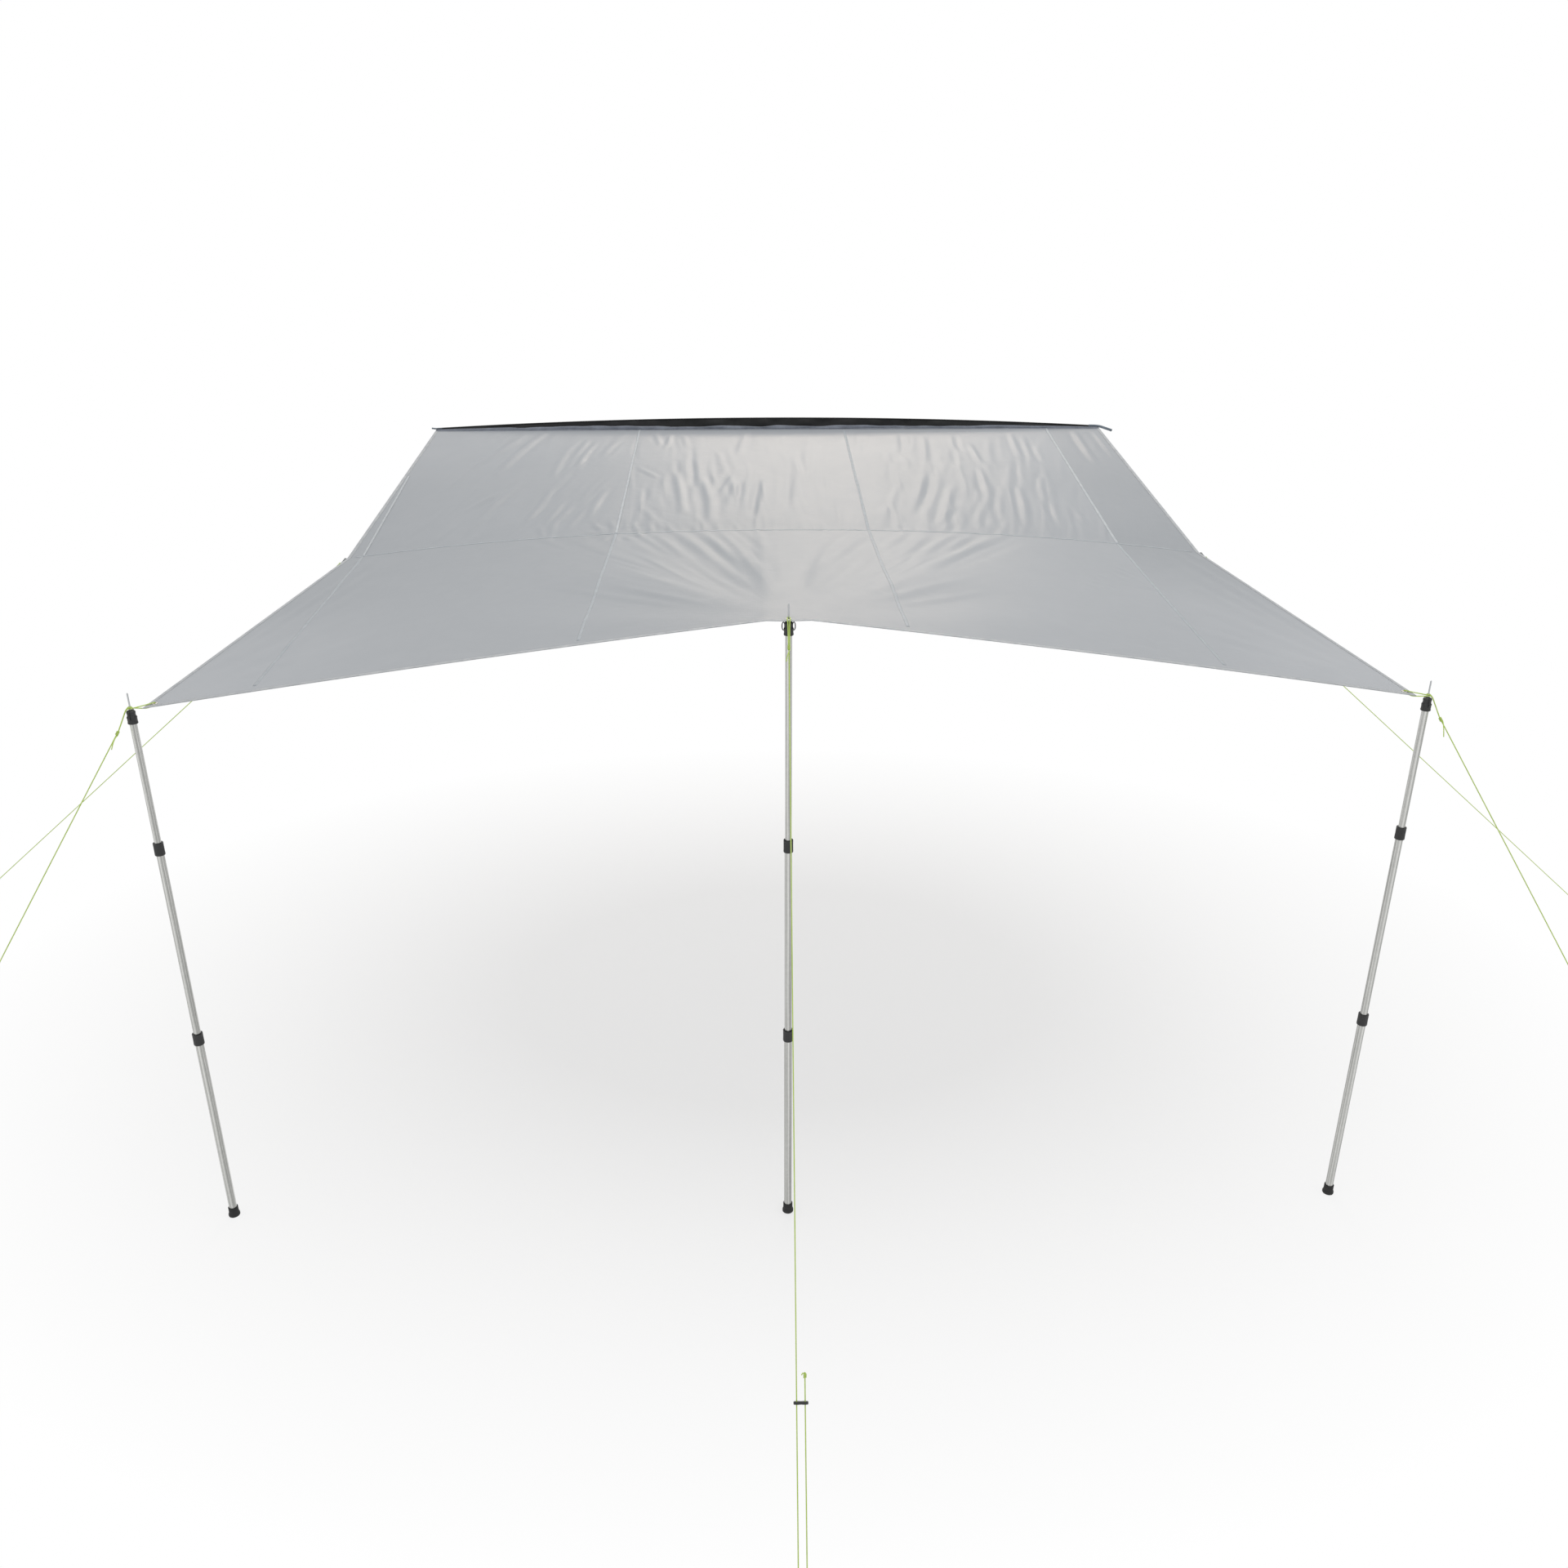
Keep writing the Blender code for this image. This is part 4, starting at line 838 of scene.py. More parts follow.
def peg_target(peg):
    return np.array([peg[0], -peg[1], GROUND + PEG_ABOVE])


def pole_pull(side):
    """A pole's pivot, its peg, the level way out to the peg, and where the head's rope ends in a knot."""
    x, out, height, peg = POLES[side]
    pivot, target = np.array([x, -out, GROUND + height]), peg_target(peg)
    away = unit((target - pivot) * (1, 1, 0))
    return pivot, target, away, pivot + away * KNOT_OUT - np.array([0, 0, KNOT_DOWN])


for pole_side in POLES:
    _, pole_peg, _, pole_knot = pole_pull(pole_side)
    guy_line(pole_side + "_pole", pole_knot + unit(pole_peg - pole_knot) * 0.0014, pole_peg)
for tip_side, sign in SIDES:
    guy_line(tip_side + "_side", KNEE_KNOT * (sign, 1, 1), peg_target(SIDE_PEG * (sign, 1)))


# ---------------------------------------------------------------- canopy cloth


def mark(mesh, name, values):
    mesh.attributes.new(name, "FLOAT", "POINT").data.foreach_set("value", values.astype(np.float32))


def pull_map(mesh, x, out):
    """How slack the cloth is at each vertex, and a UV map laid across and along its creases."""
    back = CENTRE_POLE_REACH - out
    away, angle = np.hypot(x, back), np.arctan2(x, back)
    # The left panel is slack but for its outer edge, and the strip outside the right seam a third as much.
    at_left = ease((-x - 1.40) / 0.20)
    rear = (0.30 + 0.70 * ease((out - 0.25) / 1.0)) * (1 - 0.8 * at_left)
    rear = np.where(x < SEAMS[1], np.maximum(rear, 0.7 * (1 - at_left)), rear)
    rear *= np.where(x > SEAMS[3], 0.35, 1.0)
    fan = ease((away - 0.45) / 0.75) * (1 - ease((abs(angle) - 0.50) / 0.22))
    slack = np.where(out < KNEE_REACH, rear, 0.04 + 0.86 * fan) * ease((out - 0.004) / 0.03)
    mark(mesh, "slack", slack)
    corners = read(mesh.loops, "vertex_index", kind=int)
    middles = np.repeat(read(mesh.polygons, "center", 3), read(mesh.polygons, "loop_total", kind=int), axis=0)
    across, along = x[corners], out[corners]
    lean = np.where(middles[:, 0] < SEAMS[1], -0.26, -0.13 * across)
    pulled = np.where(-middles[:, 1] < KNEE_REACH, across - lean * along, 1.1 * angle[corners] + 7.0)
    mesh.uv_layers.new(name="pull").data.foreach_set("uv", np.stack([pulled, along], axis=-1).ravel())


def painted_panel_shade(x, out):
    """How dark the cloth is painted at each place, 0 to 1: painted light and shade that differs by panel, for
    how the light falls across the cloth.
    """
    front, left, right = out >= KNEE_REACH, x < SEAMS[1], x > SEAMS[3]
    plain, middle, tips, rail, beyond = 0.56, 0.21, 0.36, 0.24, 0.11
    shade = plain + middle * np.exp(-(((x + 0.18) / 0.55) ** 2)) * ease((out - 1.0) / 0.5)
    # The tips and the strip along the rail are painted lightest.
    shade -= tips * ease((abs(x) - 1.15) / 0.8) * ease((out - 1.9) / 0.9) + rail * (1 - ease(out / 0.9))
    shade -= beyond * ease((x - 0.6) / 0.6) * (1 - ease((out - 1.0) / 0.5))
    # The right rear panel is painted darker up to its seams: painted shade.
    shade += (right & ~front) * 0.23 + (left & ~front) * 0.04 * ease((out - 0.2) / 0.6)
    # Painted shade on the right and left front panels near the knees, fading towards the front.
    shade += (right & front) * 0.30 * (1 - ease((out - 1.5) / 0.8))
    return shade + (left & front) * 0.15 * (1 - ease((out - 1.5) / 1.4))


def canopy_cloth():
    """The whole canopy: one continuous sheet under tension, opened for its eyelets."""

    def spots(mesh):
        x, y, _ = read(mesh.vertices, "co", 3).T
        return x, -y

    mesh = laid_grid("canopy_cloth", ACROSS, ALONG, lambda u, v: cloth_at(2 * u - 1, v), (1, 1))
    corners = read(mesh.loops, "vertex_index", kind=int)
    mesh.uv_layers[0].data.foreach_set("uv", np.stack(spots(mesh), axis=-1)[corners].ravel())
    bm = as_bmesh(mesh)
    for node in ("centre_eyelet", "tip_eyelet_left", "tip_eyelet_right"):
        eyelet_hole(bm, Vector(node_middle(node)).xy)
    bm.normal_update()
    mesh = as_mesh("canopy_cloth", bm)
    x, out = spots(mesh)
    # The cloth's painted light and shade, kept on its vertices.
    mark(mesh, "shade", painted_panel_shade(x, out))
    pull_map(mesh, x, out)
    return thicken(show("canopy_cloth", mesh, CLOTH_GREY, 80), CLOTH * 0.9)


def eyelet_hole(bm, centre, radius=0.0068, finer=0.034):
    """Opens the cloth under an eyelet: finer cells, then a round hole that its flange covers."""

    def faces_within(distance):
        return [f for f in bm.faces if (f.calc_center_median().xy - centre).length < distance]

    edges = list({e for f in faces_within(finer) for e in f.edges})
    bmesh.ops.subdivide_edges(bm, edges=edges, cuts=3, use_grid_fill=True)
    bmesh.ops.delete(bm, geom=faces_within(radius), context="FACES")
    for vert in bm.verts:
        away = vert.co.xy - centre
        if 1e-5 < away.length < 2.2 * radius and any(e.is_boundary for e in vert.link_edges):
            vert.co.xy = centre + away.normalized() * radius
    bmesh.ops.delete(bm, geom=[v for v in bm.verts if not v.link_faces], context="VERTS")


def hem():
    """The folded hem round the two side edges and the front, 30 mm wide, over and under the cloth."""
    rows, columns = np.linspace(0, 1, ALONG + 1), np.linspace(-1, 1, ACROSS + 1)
    ends, front = np.ones(ALONG), np.ones(ACROSS + 1)
    # Round the edge: up the left side, along the front and down the right side, and the way in from each.
    side_in = HEM_WIDTH / half_width(rows)
    front_in = HEM_WIDTH * (1 - KNEE_ROW) / (front_reach(columns) - KNEE_REACH)
    corner_in = side_in[-1] * columns * (abs(columns) == 1)
    edge = [np.concatenate([-ends, columns, ends]), np.concatenate([rows[:-1], front, rows[-2::-1]])]
    inward = [np.concatenate([side_in[:-1], -corner_in, -side_in[-2::-1]]),
              np.concatenate([0 * ends, -front_in, 0 * ends])]
    edge, inward = np.stack(edge, axis=-1), np.stack(inward, axis=-1)
    line = cloth_at(*edge.T)
    away = line - cloth_at(*(edge + inward).T)
    away /= np.linalg.norm(away, axis=1)[:, None]
    # Across: the upper edge, over the fold and back to the lower edge.
    share = np.array([0.46, 0.44, 0.22, 0.04, 0.0, 0.0, 0.04, 0.30, 0.60, 0.96, 1.0])
    lift = np.array([0.8, 1.2, 1.3, 1.25, 0.9, -0.9, -1.25, -1.35, -1.3, -1.2, -0.8]) * 1e-3
    proud = np.array([0, 0, 0, 0.2, 1.2, 1.2, 0.2, 0, 0, 0, 0]) * 1e-3
    stations, cells = len(line) - 1, len(share) - 1

    def place(u, v):
        i, j = np.rint(v * stations).astype(int), np.rint(u * cells).astype(int)
        spot = edge[i] + inward[i] * share[j][:, None]
        return cloth_at(*spot.T, lift[j]) + away[i] * proud[j][:, None]

    mesh = laid_grid("hem_folded", cells, stations, place, (0.044, run_along(line)[-1]))
    return thicken(show("hem_folded", mesh, HEM_TAPE, 60), 0.0005)


def strip(name, start, end, width, finish, lift, stations, thickness=0.0005, crown=0.0002, fold=False):
    """A strip sewn on the cloth at the given lift, from start to end, each an (x, out).

    A felled seam is thicker along its folded side.
    """
    start, end = np.array(start, float), np.array(end, float)
    ahead = unit(end - start)

    def spot(t, q=0.0):
        x, out = (start[k] + (end[k] - start[k]) * t for k in (0, 1))
        return on_cloth(x + ahead[1] * q, out - ahead[0] * q)

    def place(u, v):
        a, b = spot(np.rint(v * stations) / stations, (u - 0.5) * width)
        bulge = crown * (1 - (2 * u - 1) ** 2) + fold * 0.0007 * ease(0.5 + (u - 0.5) * 1.6)
        return cloth_at(np.clip(a, -1, 1), np.clip(b, 0, 1), lift + bulge)

    run = run_along(cloth_at(*spot(np.linspace(0, 1, stations + 1))))
    return thicken(show(name, laid_grid(name, 4, stations, place, (width, run[-1])), finish, 60), thickness)


def seam_strips():
    """The felled seams, four along the panels and the cross seam at the knees, and the hem along the rail."""
    made, width = [], 0.0115
    for number, x in enumerate(SEAMS, 1):
        outs = np.linspace(KNEE_REACH, 2.90, 200)
        a, b = on_cloth(np.full(200, x), outs)
        knee, last = (x, KNEE_REACH), (x, outs[(b < 0.984) & (abs(a) < 0.985)][-1])
        first = (x, 0.62 if abs(x) > 1.6 else 0.020)
        # The third seam is pressed flat and takes the darker tapes, painted shade, so that it shows least.
        rear = (CROSS_AND_SHADED_SEAM_TAPE, 0.0006, 100) if number == 3 else (SEAM_TAPE, 0.0009, 100, 0.0006, 0.0004, True)
        made.append(strip(f"seam_{number}_rear", first, knee, width, *rear))
        # Painted shade: the front halves take the darker tapes.
        front = SHADED_SEAM_TAPE if number == 3 else CROSS_AND_SHADED_SEAM_TAPE
        made.append(strip(f"seam_{number}_front", knee, last, width, front, 0.0006, 100))
    half = KNEE_WIDTH / 2 - 0.034
    made.append(strip("seam_cross", (-half, KNEE_REACH), (half, KNEE_REACH), 0.011, CROSS_AND_SHADED_SEAM_TAPE, 0.0008, 260))
    half, out = REAR_WIDTH / 2 - 0.0015, 0.0114
    made.append(strip("hem_rear", (-half, out), (half, out), 0.022, REAR_HEM, 0.0014, 300, 0.0006, 0.0004))
    return made


def patch(name, x, out, radii, turn=0.0):
    """A sewn reinforcement under the cloth: an oval cut off at the cloth's hem."""
    hem_gap, under = 0.010, -0.0021

    def place(u, v):
        angle = 2 * math.pi * v
        long, short = radii[0] * np.cos(angle), radii[1] * np.sin(angle)
        px = x + u * (long * math.cos(turn) - short * math.sin(turn))
        py = out + u * (long * math.sin(turn) + short * math.cos(turn))
        a, b = on_cloth(px, py)
        limit = 1 - hem_gap / half_width(b)
        return cloth_at(np.clip(a, -limit, limit), np.clip(b, 0.02, 1 - hem_gap / 3), under)

    bm = as_bmesh(laid_grid(name, 8, 40, place, (0.12, 2 * math.pi * radii[0])))
    bmesh.ops.remove_doubles(bm, verts=bm.verts, dist=1e-6)
    return thicken(show(name, as_mesh(name, bm), PATCH, 60), 0.0007)


cloth = stand_in(canopy_cloth(), "canopy_sheet")
folded = stand_in(hem(), "hem_band")
seams = seam_strips()
patches = [
    patch("patch_centre", 0.0, 2.900, (0.15, 0.11)),
    patch("patch_tip_left", -1.94, 2.84, (0.17, 0.075), 0.42),
    patch("patch_tip_right", 1.94, 2.84, (0.17, 0.075), -0.42),
    patch("patch_knee_left", -1.72, 1.50, (0.075, 0.085)),
    patch("patch_knee_right", 1.72, 1.50, (0.075, 0.085)),
]
for sewn in seams + patches:
    ride_with(sewn, "canopy_sheet")


# ---------------------------------------------------------------- keder strip


def bead_line(x):
    """The bead's middle, arched as the rail is."""
    return np.stack([x, 0 * x, -(RAIL_ARCH - FLAP_LEAST) * (2 * x / REAR_WIDTH) ** 2], axis=-1)


def keder():
    """The bead for the rail with its grey ends, and the black flap that falls in soft waves to the hem."""
    half = REAR_WIDTH / 2
    bead = swept("keder_bead", bead_line(np.linspace(-half, half, 121)), BEAD, KEDER_BLACK, 14)
    end = bead_line(np.array(half))
    left = [end * (-1, 1, 1) + (x, 0, z) for x, z in ((0.03, 0.001), (0, 0), (-0.0215, 0.0022))]
    right = [end + (x, 0, z) for x, z in ((-0.05, 0.0024), (0, 0), (0.036, -0.0100), (0.071, -0.0215))]
    tails = [
        swept("keder_tail_left", smooth_path(left, 5), BEAD * 1.04, KEDER_GREY, 14),
        swept("keder_tail_right", smooth_path(right, 5), 0.0130, KEDER_GREY, 14, flat=0.62, up=(0, 1, 0.2)),
    ]

    def hanging(u, px, proud=0.0):
        """The flap at a share u of the way up from the cloth to the bead."""
        top = bead_line(px)
        wave = 0.55 * np.sin(px * 21 + 1.7 * np.sin(px * 5.3))
        wave += 0.45 * np.sin(px * 47 + 2.1 * np.sin(px * 9.1))
        # The lower edge is sewn a little unevenly over the rear hem.
        over = 0.0058 + 0.0034 * np.sin(px * 16 + 2.3 * np.sin(px * 4.1)) * ease((half - abs(px)) / 0.2)
        foot = cloth_at(px / half * (1 - 0.0012), KNEE_ROW * over / KNEE_REACH, 0.0022)
        slack = np.clip((top - foot)[:, 2] / 0.05, 0, 1) * np.sin(math.pi * u)
        made = foot + (top - foot) * u[:, None]
        made[:, 1] += -0.0005 - proud + (0.0052 * wave - 0.0014) * slack
        return made

    def turned_up(u, v):
        """The rear hem's turned-up part, which lies on the flap up to an uneven edge."""
        px = (2 * v - 1) * (half - 0.004)
        drop = 0.010 + RAIL_ARCH * (1 - (px / half) ** 2)
        rise = 0.0165 + 0.0040 * np.sin(px * 13 + 2.6 * np.sin(px * 3.7)) + 0.0012 * np.sin(px * 41)
        return hanging(u * np.minimum(rise / drop, 0.45), px, 0.0012)

    mesh = laid_grid("keder_flap", 8, 420, lambda u, v: hanging(u, (2 * v - 1) * half), (0.05, REAR_WIDTH))
    flap = thicken(show("keder_flap", mesh, KEDER_BLACK, 60), 0.0011)
    mesh = laid_grid("hem_turned_up", 4, 420, turned_up, (0.022, REAR_WIDTH))
    edge = thicken(show("hem_turned_up", mesh, REAR_HEM, 60), 0.0006)
    ride_with(edge, "canopy_sheet")
    for piece in [bead, flap] + tails:
        stand_in(piece, "keder_strip")
    return [flap, edge, bead] + tails


rail_pieces = keder()


# ---------------------------------------------------------------- eyelets, tabs, rings and loops


def eyelet(name, node):
    """A rolled two-part eyelet, its rim beaded and its barrel flared."""
    at = node_middle(node)
    upper = [(0.0050, 0.0), (0.0050, 0.0016), (0.0056, 0.0025), (0.0066, 0.0028), (0.0078, 0.0025),
             (0.0089, 0.0015), (0.0090, 0.0011), (0.0084, 0.0011), (0.0064, 0.0013), (0.0062, 0.0)]
    lower = [(r, -h) for r, h in reversed(upper)][1:-1]
    bm = spun_bmesh(upper + lower, 40, closed=True)
    wrap_uv(bm, 0.007)
    mesh = as_mesh(name, bm, 1e-6)
    mesh.transform(oriented((1, 0, 0), cloth_normal(at[0], -at[1]), at))
    return stand_in(show(name, mesh, NICKEL, 50), node)


eyelets = [
    eyelet("eyelet_centre", "centre_eyelet"),
    eyelet("eyelet_tip_left", "tip_eyelet_left"),
    eyelet("eyelet_tip_right", "tip_eyelet_right"),
]


def webbing_band(name, path, side):
    """A flat woven band along the path, its width lying along side."""
    ahead = np.gradient(path, axis=0)
    ahead /= np.linalg.norm(ahead, axis=1)[:, None]
    up = np.cross(ahead, side)
    up /= np.linalg.norm(up, axis=1)[:, None]

    def place(u, v):
        i, q = np.rint(v * (len(path) - 1)).astype(int), (u - 0.5)[:, None]
        return path[i] + side * q * WEBBING_WIDTH + up[i] * 0.00012 * np.cos(q * 6)

    mesh = laid_grid(name, 6, len(path) - 1, place, (WEBBING_WIDTH, run_along(path)[-1]))
    return thicken(show(name, mesh, WEBBING, 50), WEBBING_THICKNESS)


def knee_tab(side, sign):
    """The doubled webbing under the knee, turned round the D-ring's bar, and the cord's eye in the ring."""
    # The way out, the way along the bar and the way up from the cloth at the knee
    out = np.array([sign * 0.992012, 0, -0.126142])
    along = unit([0.018305, sign * 0.989415, sign * 0.143954])
    up = np.array([sign * 0.124807, -0.145113, 0.981512])
    # Under the cloth lie the hem, two layers of webbing and the bar.
    hem_fold, layer, gap = 0.0008, 0.0012, 0.0008
    knee = np.array([sign * KNEE_WIDTH / 2, -KNEE_REACH, GROUND + KNEE_HEIGHT])
    eye = knee + out * 0.014 - up * (CLOTH / 2 + hem_fold + 2 * layer + gap)
    turn, inner = RING_WIRE / 2 + layer, 0.046
    # Upper leg, round the bar, lower leg: two layers with their ends under the box of stitches.
    points = [(-inner, 0.0008), (-0.030, 0.0008), (-0.012, 0.0009), (-0.006, 0.0014)]
    points += [(turn * math.sin(t), turn * math.cos(t)) for t in np.linspace(0.15, math.pi - 0.15, 13)]
    points += [(-0.006, -0.0016), (-0.012, -0.0011), (-0.030, -0.0010), (-inner, -0.0010)]
    path = smooth_path([eye + out * x + up * z for x, z in points], 3)
    stand_in(webbing_band("tab_" + side, path, along), "knee_tab_" + side)

    pull = peg_target(SIDE_PEG * (sign, 1)) - eye
    pull = unit(pull - along * pull.dot(along))
    bow = RING_WIDTH / 2
    outline = [(0, y) for y in (0.003 - bow, -bow * 0.5, 0, bow * 0.5, bow - 0.003)] + [(0.003, bow - 0.0004)]
    for t in np.linspace(0.02, math.pi - 0.02, 25):
        outline.append((RING_DEPTH - bow + bow * math.sin(t), bow * math.cos(t)))
    points = [eye + pull * x + along * y for x, y in outline + [(0.003, 0.0004 - bow)]]
    ring = swept("d_ring_" + side, points, RING_WIRE, ZINC_STEEL, 16, cyclic=True)
    stand_in(ring, "knee_ring_" + side)

    # The eye of cord: from the knot through the ring and back, as (start, pull, apart, round the wire).
    start, far = KNEE_KNOT * (sign, 1, 1), eye + pull * RING_DEPTH
    other, hole = np.cross(pull, along), RING_WIRE / 2 + ROPE / 2 + 0.0002
    legs = [
        (start, 0.002, 0.0019, 0),
        (far, hole * 0.5, 0.0019, hole * 0.9),
        (far, -hole * 0.4, 0.0010, hole * 0.95),
    ]
    loop = [at + pull * p + along * q + other * r for at, p, q, r in legs] + [far - pull * hole]
    loop += [at + pull * p - along * q - other * r for at, p, q, r in legs[::-1]]
    hitch = swept("ring_hitch_" + side, smooth_path(loop, 6), ROPE, CORD, 10)
    ride_with(hitch, f"guy_line_{side}_side")


for tip_side, sign in SIDES:
    knee_tab(tip_side, sign)

# From the middle of the spike to the middle of a rope that lies against it
ROUND_SPIKE = SPIKE_DIAMETER / 2 + ROPE / 2 + 0.0005


def head_loop(side):
    """The doubled rope from the spike over the head to the knot, on the guy line's side."""
    pivot, _, away, knot = pole_pull(side)
    across, up = np.array([-away[1], away[0], 0]), np.array([0, 0, 1.0])
    joined = ROPE / 2 + 0.00025
    if side == "centre":
        # Out over the cloth's front edge and down
        base = pivot + up * 0.0050
        over = CENTRE_REACH - CENTRE_POLE_REACH + ROPE
        bends = [(over + 0.006, -0.030, joined * 1.2), (over + 0.0015, -0.008, joined * 1.5),
                 (over - ROPE, 0.0045, ROUND_SPIKE * 0.8)]
    else:
        # Over the shoulder of the head's dome and straight to the knot
        base = pivot + up * 0.0043
        bends = [(0.0262, -0.030, joined * 1.2), (0.0165, -0.0102, joined * 1.5),
                 (0.0112, -0.0030, ROUND_SPIKE * 0.9)]
    half = [knot + across * joined]
    half += [pivot + away * reach_out + up * height + across * apart for reach_out, height, apart in bends]
    half.append(base + ROUND_SPIKE * (away * 0.65 + across))
    half.append(base + ROUND_SPIKE * (across - away) * math.sqrt(0.5))
    other = [p - 2 * across * (p - base).dot(across) for p in half]
    points = smooth_path(half + [base - away * ROUND_SPIKE] + other[::-1], 8)
    stand_in(swept("head_rope_" + side, points, ROPE, CORD, 12), "head_loop_" + side)


def tip_loop(side):
    """The rope ring from the tip eyelet to the spike."""
    start = node_middle("tip_eyelet_" + side)
    up = cloth_normal(start[0], -start[1])
    pivot = pole_pull(side)[0]
    flat = unit((pivot - start) - up * (pivot - start).dot(up))
    out = unit((pivot - start) * (1, 1, 0))
    across = np.array([-out[1], out[0], 0]) * ROUND_SPIKE
    over = CLOTH / 2 + 0.0018 + ROPE / 2 + 0.0005
    above, below, edge = up * over, -up * (over + 0.0020), flat * 0.0324
    points = [
        start + above, start, start + below, start + edge * 0.5 + below, start + edge + below - across * 0.4,
        pivot - across, pivot + out * ROUND_SPIKE, pivot + across, start + edge + above + across * 0.4,
        start + edge * 0.5 + above,
    ]
    loop = swept("tip_rope_" + side, smooth_path(points, 8, True), ROPE, CORD, 12, cyclic=True)
    stand_in(loop, "tip_loop_" + side)


for pole_side in POLES:
    head_loop(pole_side)
for tip_side, _ in SIDES:
    tip_loop(tip_side)


# ---------------------------------------------------------------- poles


def tube_profile(outer, top, bottom):
    """A drawn tube's closed section, its cut ends slightly rounded."""
    r, bore, edge = outer / 2, outer / 2 - WALL, 0.0004
    outside = [(r - edge, top), (r, top - edge), (r, bottom + edge), (r - edge, bottom)]
    return [(bore, bottom), (bore, top)] + outside


def collar_profile(tube_outer, inner_outer):
    """The twist collar's section: a lip at each end and a shallow barrel between."""
    run = tube_outer / 2 + FIT + COLLET_WALL + COLLAR_GAP
    outer, inner, lower = run + COLLAR_WALL, inner_outer / 2 + COLLAR_GAP, tube_outer / 2 + COLLAR_GAP
    high, low = COLLET_TOP + 0.0015, COLLET_BOTTOM - 0.0015
    crown, base = high + 0.003, low - 0.003
    made = [(inner, high), (inner, crown - 0.0004), (inner + 0.0004, crown)]
    made += [(outer - cut, crown - drop) for cut, drop in (
        (0.0022, 0), (0.0008, 0.0005), (0.0001, 0.0018), (0.0003, 0.0040), (0.0007, 0.0055), (0.0008, 0.0120),
        (0.0009, 0.0220),
    )]
    made += [(outer - cut, base + rise) for cut, rise in (
        (0.0007, 0.0100), (0.0003, 0.0080), (0, 0.0060), (0, 0.0020), (0.0005, 0.0006), (0.0020, 0),
    )]
    return made + [(lower + 0.0005, base), (lower, base + 0.0005), (lower, low), (run, low), (run, high)]


def collar_ribs(bm, outer, ribs=26, depth=0.00042, bottom=-0.0175, top=0.0135):
    """Upright grip ribs between the collar's lips."""
    for vert in bm.verts:
        x, y, z = vert.co
        radius = math.hypot(x, y)
        if radius > outer - 0.0012 and bottom < z < top:
            vert.co.xy *= (radius + depth * math.cos(math.atan2(y, x) * ribs)) / radius


def head_profile():
    """The head's closed section: hub, dome, waist at the ears, and a skirt with two rings round it."""
    top = -HEAD_TOP_GAP
    base = top - HEAD_HEIGHT
    pin, bore = SPIKE_DIAMETER / 2 + FIT, TOP_OUTER / 2 + FIT
    n, r = HEAD_NECK_RADIUS, HEAD_RADIUS
    made = [(radius, top - drop) for radius, drop in (
        (0, 0.010), (pin, 0.010), (pin, 0.0003), (pin + 0.0003, 0), (0.0056, 0), (0.0064, 0.0006),
        (0.0080, 0.0018), (n * 0.84, 0.0034), (n * 0.95, 0.0052), (n, 0.0075), (n, 0.0100),
        (n - 0.0007, 0.0112), (n - 0.0008, 0.0180), (n - 0.0001, 0.0205), (r - 0.0004, 0.0232), (r, 0.0242),
        (r, 0.0262), (r - 0.0007, 0.0270), (r - 0.0007, 0.0400), (r, 0.0408),
    )]
    return made + [(radius, base + rise) for radius, rise in (
        (r, 0.0012), (r - 0.0006, 0.0003), (r - 0.0014, 0), (bore + 0.0003, 0), (bore, 0.0004),
        (bore, HEAD_SOCKET), (0, HEAD_SOCKET),
    )]


def ring_ears(bm, turn):
    """Adds a tall ring ear on either side of the head."""
    middle, half_height, wire, half_depth = -HEAD_TOP_GAP - 0.0170, 0.0125, 0.0018, 0.0023
    gap = 0.0026
    mean = gap + wire
    turns = np.linspace(0, 2 * math.pi, 13)[:-1]
    section = [(mean + wire * math.cos(t), half_depth * math.sin(t)) for t in turns]
    for side in (-1, 1):
        ring = spun_bmesh(section, 28, closed=True)
        for vert in ring.verts:
            radius = math.hypot(vert.co.x, vert.co.y)
            vert.co.y *= (half_height - mean + radius) / radius
        mesh = as_mesh("ear", ring)
        mesh.transform(
            Matrix.Rotation(turn, 4, "Z")
            @ Matrix.Translation((side * (HEAD_NECK_RADIUS + gap), 0, middle))
            @ Matrix.Rotation(math.pi / 2, 4, "X")
        )
        as_bmesh(mesh, bm)


def foot_profile():
    """The rubber foot's section: a flared base, three rings round its sleeve and a grooved sole."""
    seat, rim = BOTTOM_OUTER / 2 + FIT, BOTTOM_OUTER / 2 + FIT + 0.0032
    return [
        (0, SOLE), (seat, SOLE), (seat, 0.0375), (seat + 0.0005, 0.038), (rim - 0.0010, 0.038), (rim, 0.0368),
        (rim, 0.0345), (rim - 0.0008, 0.0338), (rim - 0.0008, 0.0318), (rim, 0.0311), (rim, 0.0290),
        (rim - 0.0008, 0.0283), (rim - 0.0008, 0.0263), (rim, 0.0256), (rim, 0.0190), (rim + 0.0006, 0.0150),
        (rim + 0.0016, 0.0115), (0.0203, 0.0085), (0.0205, 0.0075), (0.0205, 0.0014), (0.0200, 0.0004),
        (0.0193, 0), (0.0156, 0), (0.0156, 0.0015), (0.0113, 0.0015), (0.0113, 0), (0.0070, 0),
        (0.0070, 0.0010), (0.0040, 0.0010), (0.0040, 0), (0, 0),
    ]


def spike_profile():
    """The steel spike's section, its tip rounded."""
    tip = [(0, 0), (0.0006, 0.0002), (0.0012, 0.0008), (0.0019, 0.0019), (0.0024, 0.0033), (0.0025, 0.0042)]
    return [(radius, SPIKE_UP - drop) for radius, drop in tip] + [(0.0025, SPIKE_DOWN), (0, SPIKE_DOWN)]


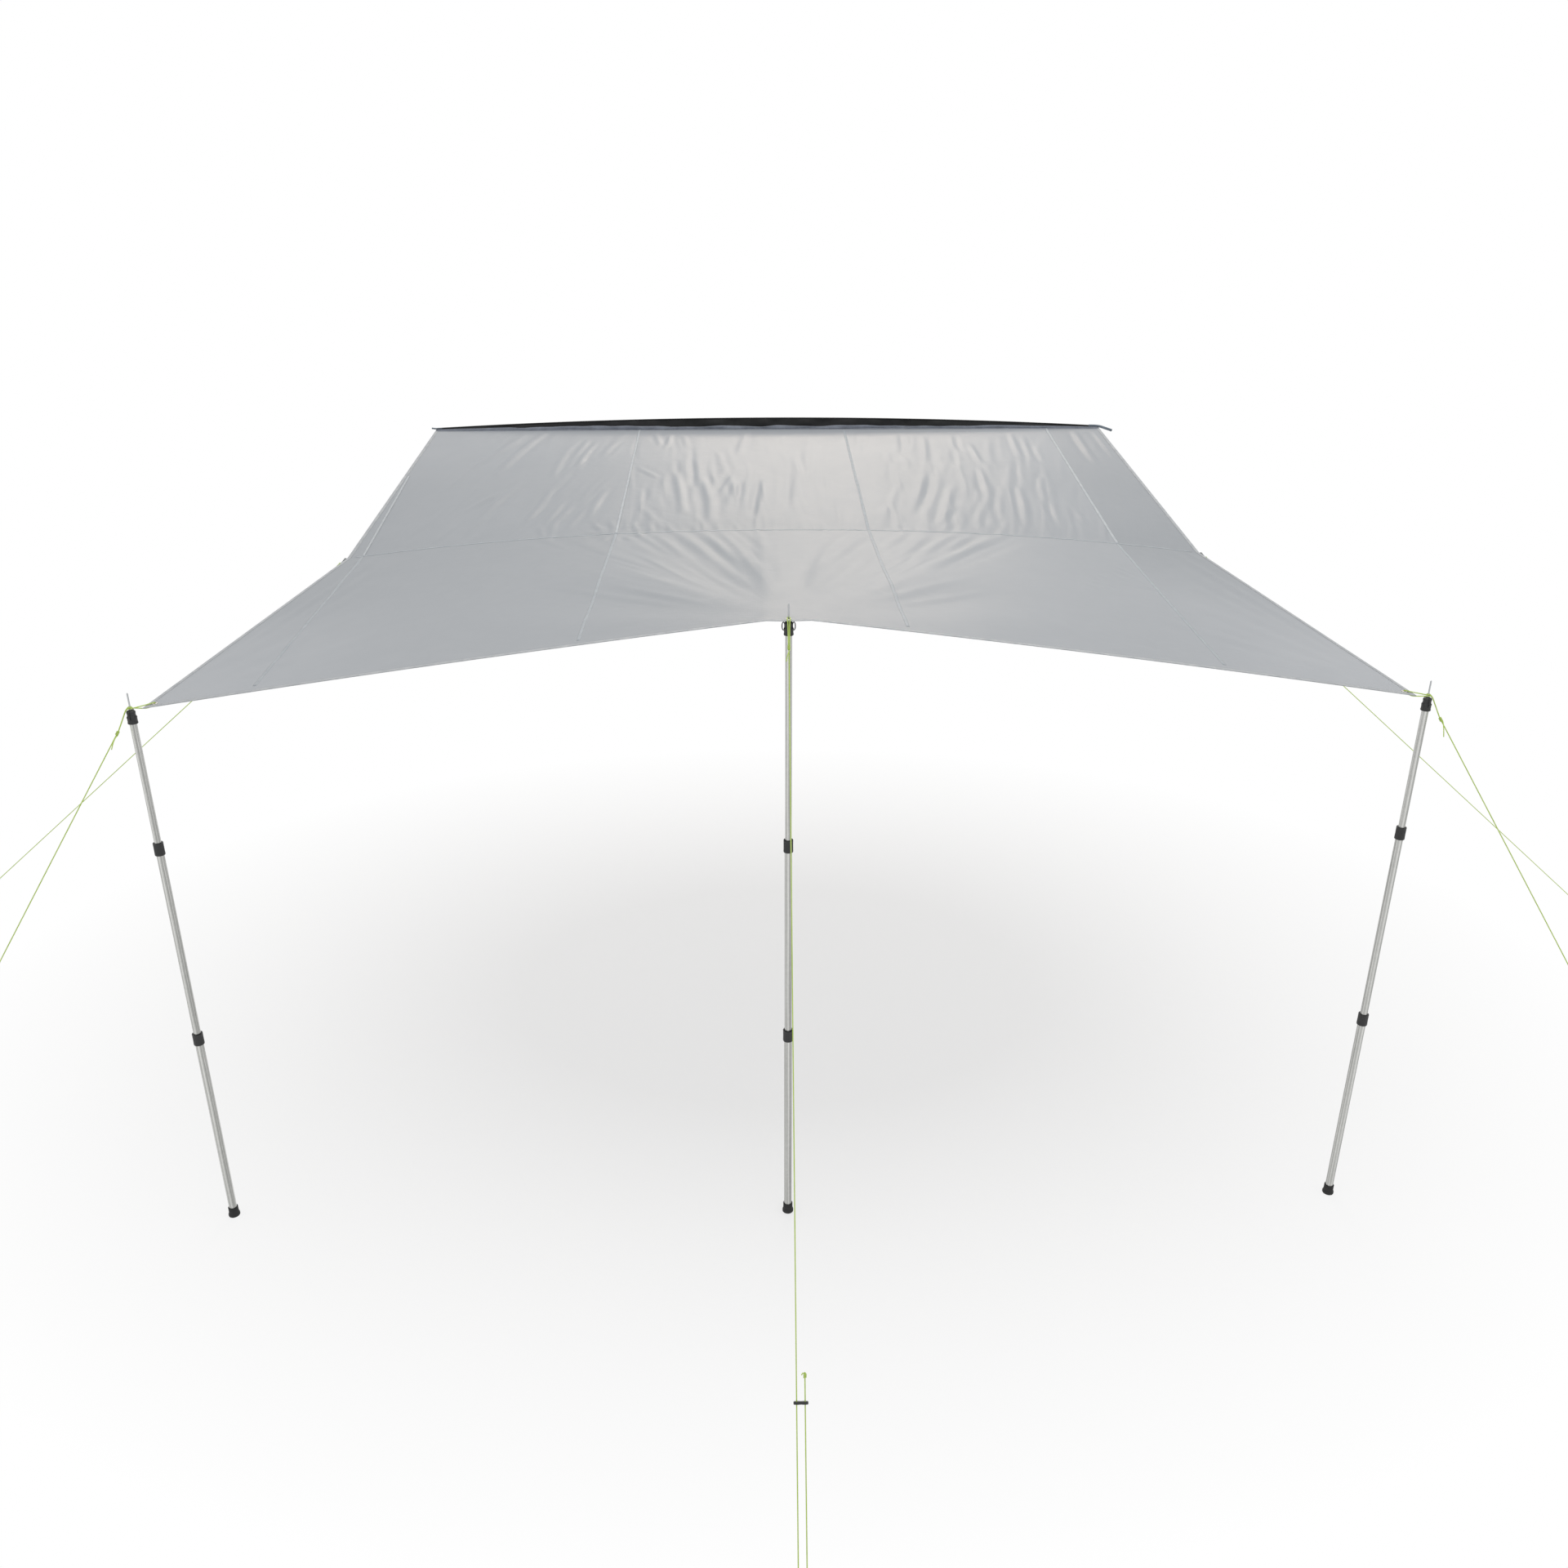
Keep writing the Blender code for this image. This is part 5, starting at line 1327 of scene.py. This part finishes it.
def collet_profile(tube_outer, inner_outer):
    """The split sleeve's section: seated on the outer tube and tapered above it."""
    seat, grip = tube_outer / 2 + FIT, inner_outer / 2 + FIT
    outer = seat + COLLET_WALL
    return [
        (grip, FIT), (grip, COLLET_TOP), (grip + COLLET_WALL, COLLET_TOP), (outer, 0.0063),
        (outer, COLLET_BOTTOM), (seat, COLLET_BOTTOM), (seat, FIT),
    ]


def pole(side, ear_turn):
    """One three-section pole, each piece in place of its CAD node."""
    x, y, z = pole_pull(side)[0]
    upper, lower = GROUND + UPPER_JOINT_HEIGHT, GROUND + BOTTOM_LENGTH

    def turned(piece, node, profile, height, finish, steps=48, closed=False, shape=None):
        """A turned piece about the pole's axis, with an optional change of its bmesh."""
        name = f"{piece}_{side}"
        bm = spun_bmesh(profile, steps, closed)
        if shape:
            shape(bm)
        wrap_uv(bm, max(radius for radius, _ in profile))
        bmesh.ops.translate(bm, verts=bm.verts, vec=(x, y, height))
        stand_in(show(name, as_mesh(name, bm, 1e-6), finish), f"{side}_pole_{node}")

    ears = partial(ring_ears, turn=ear_turn)
    turned("cap", "head", head_profile(), z, BLACK_NYLON, shape=ears)
    turned("pin", "spike", spike_profile(), z, ZINC_STEEL, 32)
    for part, outer, top, length in (
        ("top", TOP_OUTER, z - HEAD_TOP_GAP - HEAD_HEIGHT + HEAD_SOCKET - FIT, TOP_LENGTH),
        ("mid", MID_OUTER, upper, MID_LENGTH),
        ("bottom", BOTTOM_OUTER, lower, BOTTOM_LENGTH - SOLE - FIT),
    ):
        tube = tube_profile(outer, 0, -length)
        turned("tube_" + part, part + "_tube", tube, top, ALUMINIUM, 64, closed=True)
    for part, outer, inner, height in (
        ("upper", MID_OUTER, TOP_OUTER, upper), ("lower", BOTTOM_OUTER, MID_OUTER, lower),
    ):
        sleeve, collar = collet_profile(outer, inner), collar_profile(outer, inner)
        ribs = partial(collar_ribs, outer=max(radius for radius, _ in collar))
        collet_node, collar_node = part + "_collet", part + "_collar"
        turned("collet_" + part, collet_node, sleeve, height, WHITE_ACETAL, closed=True)
        turned("collar_" + part, collar_node, collar, height, BLACK_NYLON, 130, True, ribs)
    turned("shoe", "foot", foot_profile(), GROUND, BLACK_RUBBER, 56)


for pole_side, pole_turn in (("left", math.pi / 2), ("centre", 0.0), ("right", math.pi / 2)):
    pole(pole_side, pole_turn)


# ---------------------------------------------------------------- light and floor


def light_scene():
    """Two soft boxes and an even surrounding light, over a pale floor."""
    scene = bpy.context.scene
    scene.view_settings.view_transform = "Standard"
    scene.world = bpy.data.worlds.new("studio")
    scene.world.use_nodes = True
    tree = scene.world.node_tree
    surround = tree.nodes["Background"]
    surround.inputs["Color"].default_value = (1, 1, 1, 1)
    add = partial(add_node, tree)
    strength = add("MapRange", Value=seen_directly(add), To_Min=0.57, To_Max=1.0)
    tree.links.new(strength, surround.inputs["Strength"])
    aim = Vector((0, -1.6, -1.0))
    for name, place, size, power, tint in (
        ("soft_box_over", (0.5, -2.2, 4.8), (4.4, 4.4), 84, "#FFFFFF"),
        ("soft_box_back", (0.75, 6.0, 3.7), (3.4, 1.8), 112, "#FFF0DE"),
    ):
        data = bpy.data.lights.new(name, "AREA")
        data.shape = "RECTANGLE"
        data.size, data.size_y = size
        data.energy = power
        data.color = linear(tint)[:3]
        lamp = bpy.data.objects.new(name, data)
        lamp.location = place
        lamp.rotation_euler = (aim - Vector(place)).to_track_quat("-Z", "Y").to_euler()
        scene.collection.objects.link(lamp)
    bm = bmesh.new()
    bmesh.ops.create_circle(bm, cap_ends=True, segments=96, radius=60)
    bmesh.ops.translate(bm, verts=bm.verts, vec=(0, 0, GROUND - 0.0005))
    show("studio_floor", as_mesh("studio_floor", bm), white_floor())


light_scene()
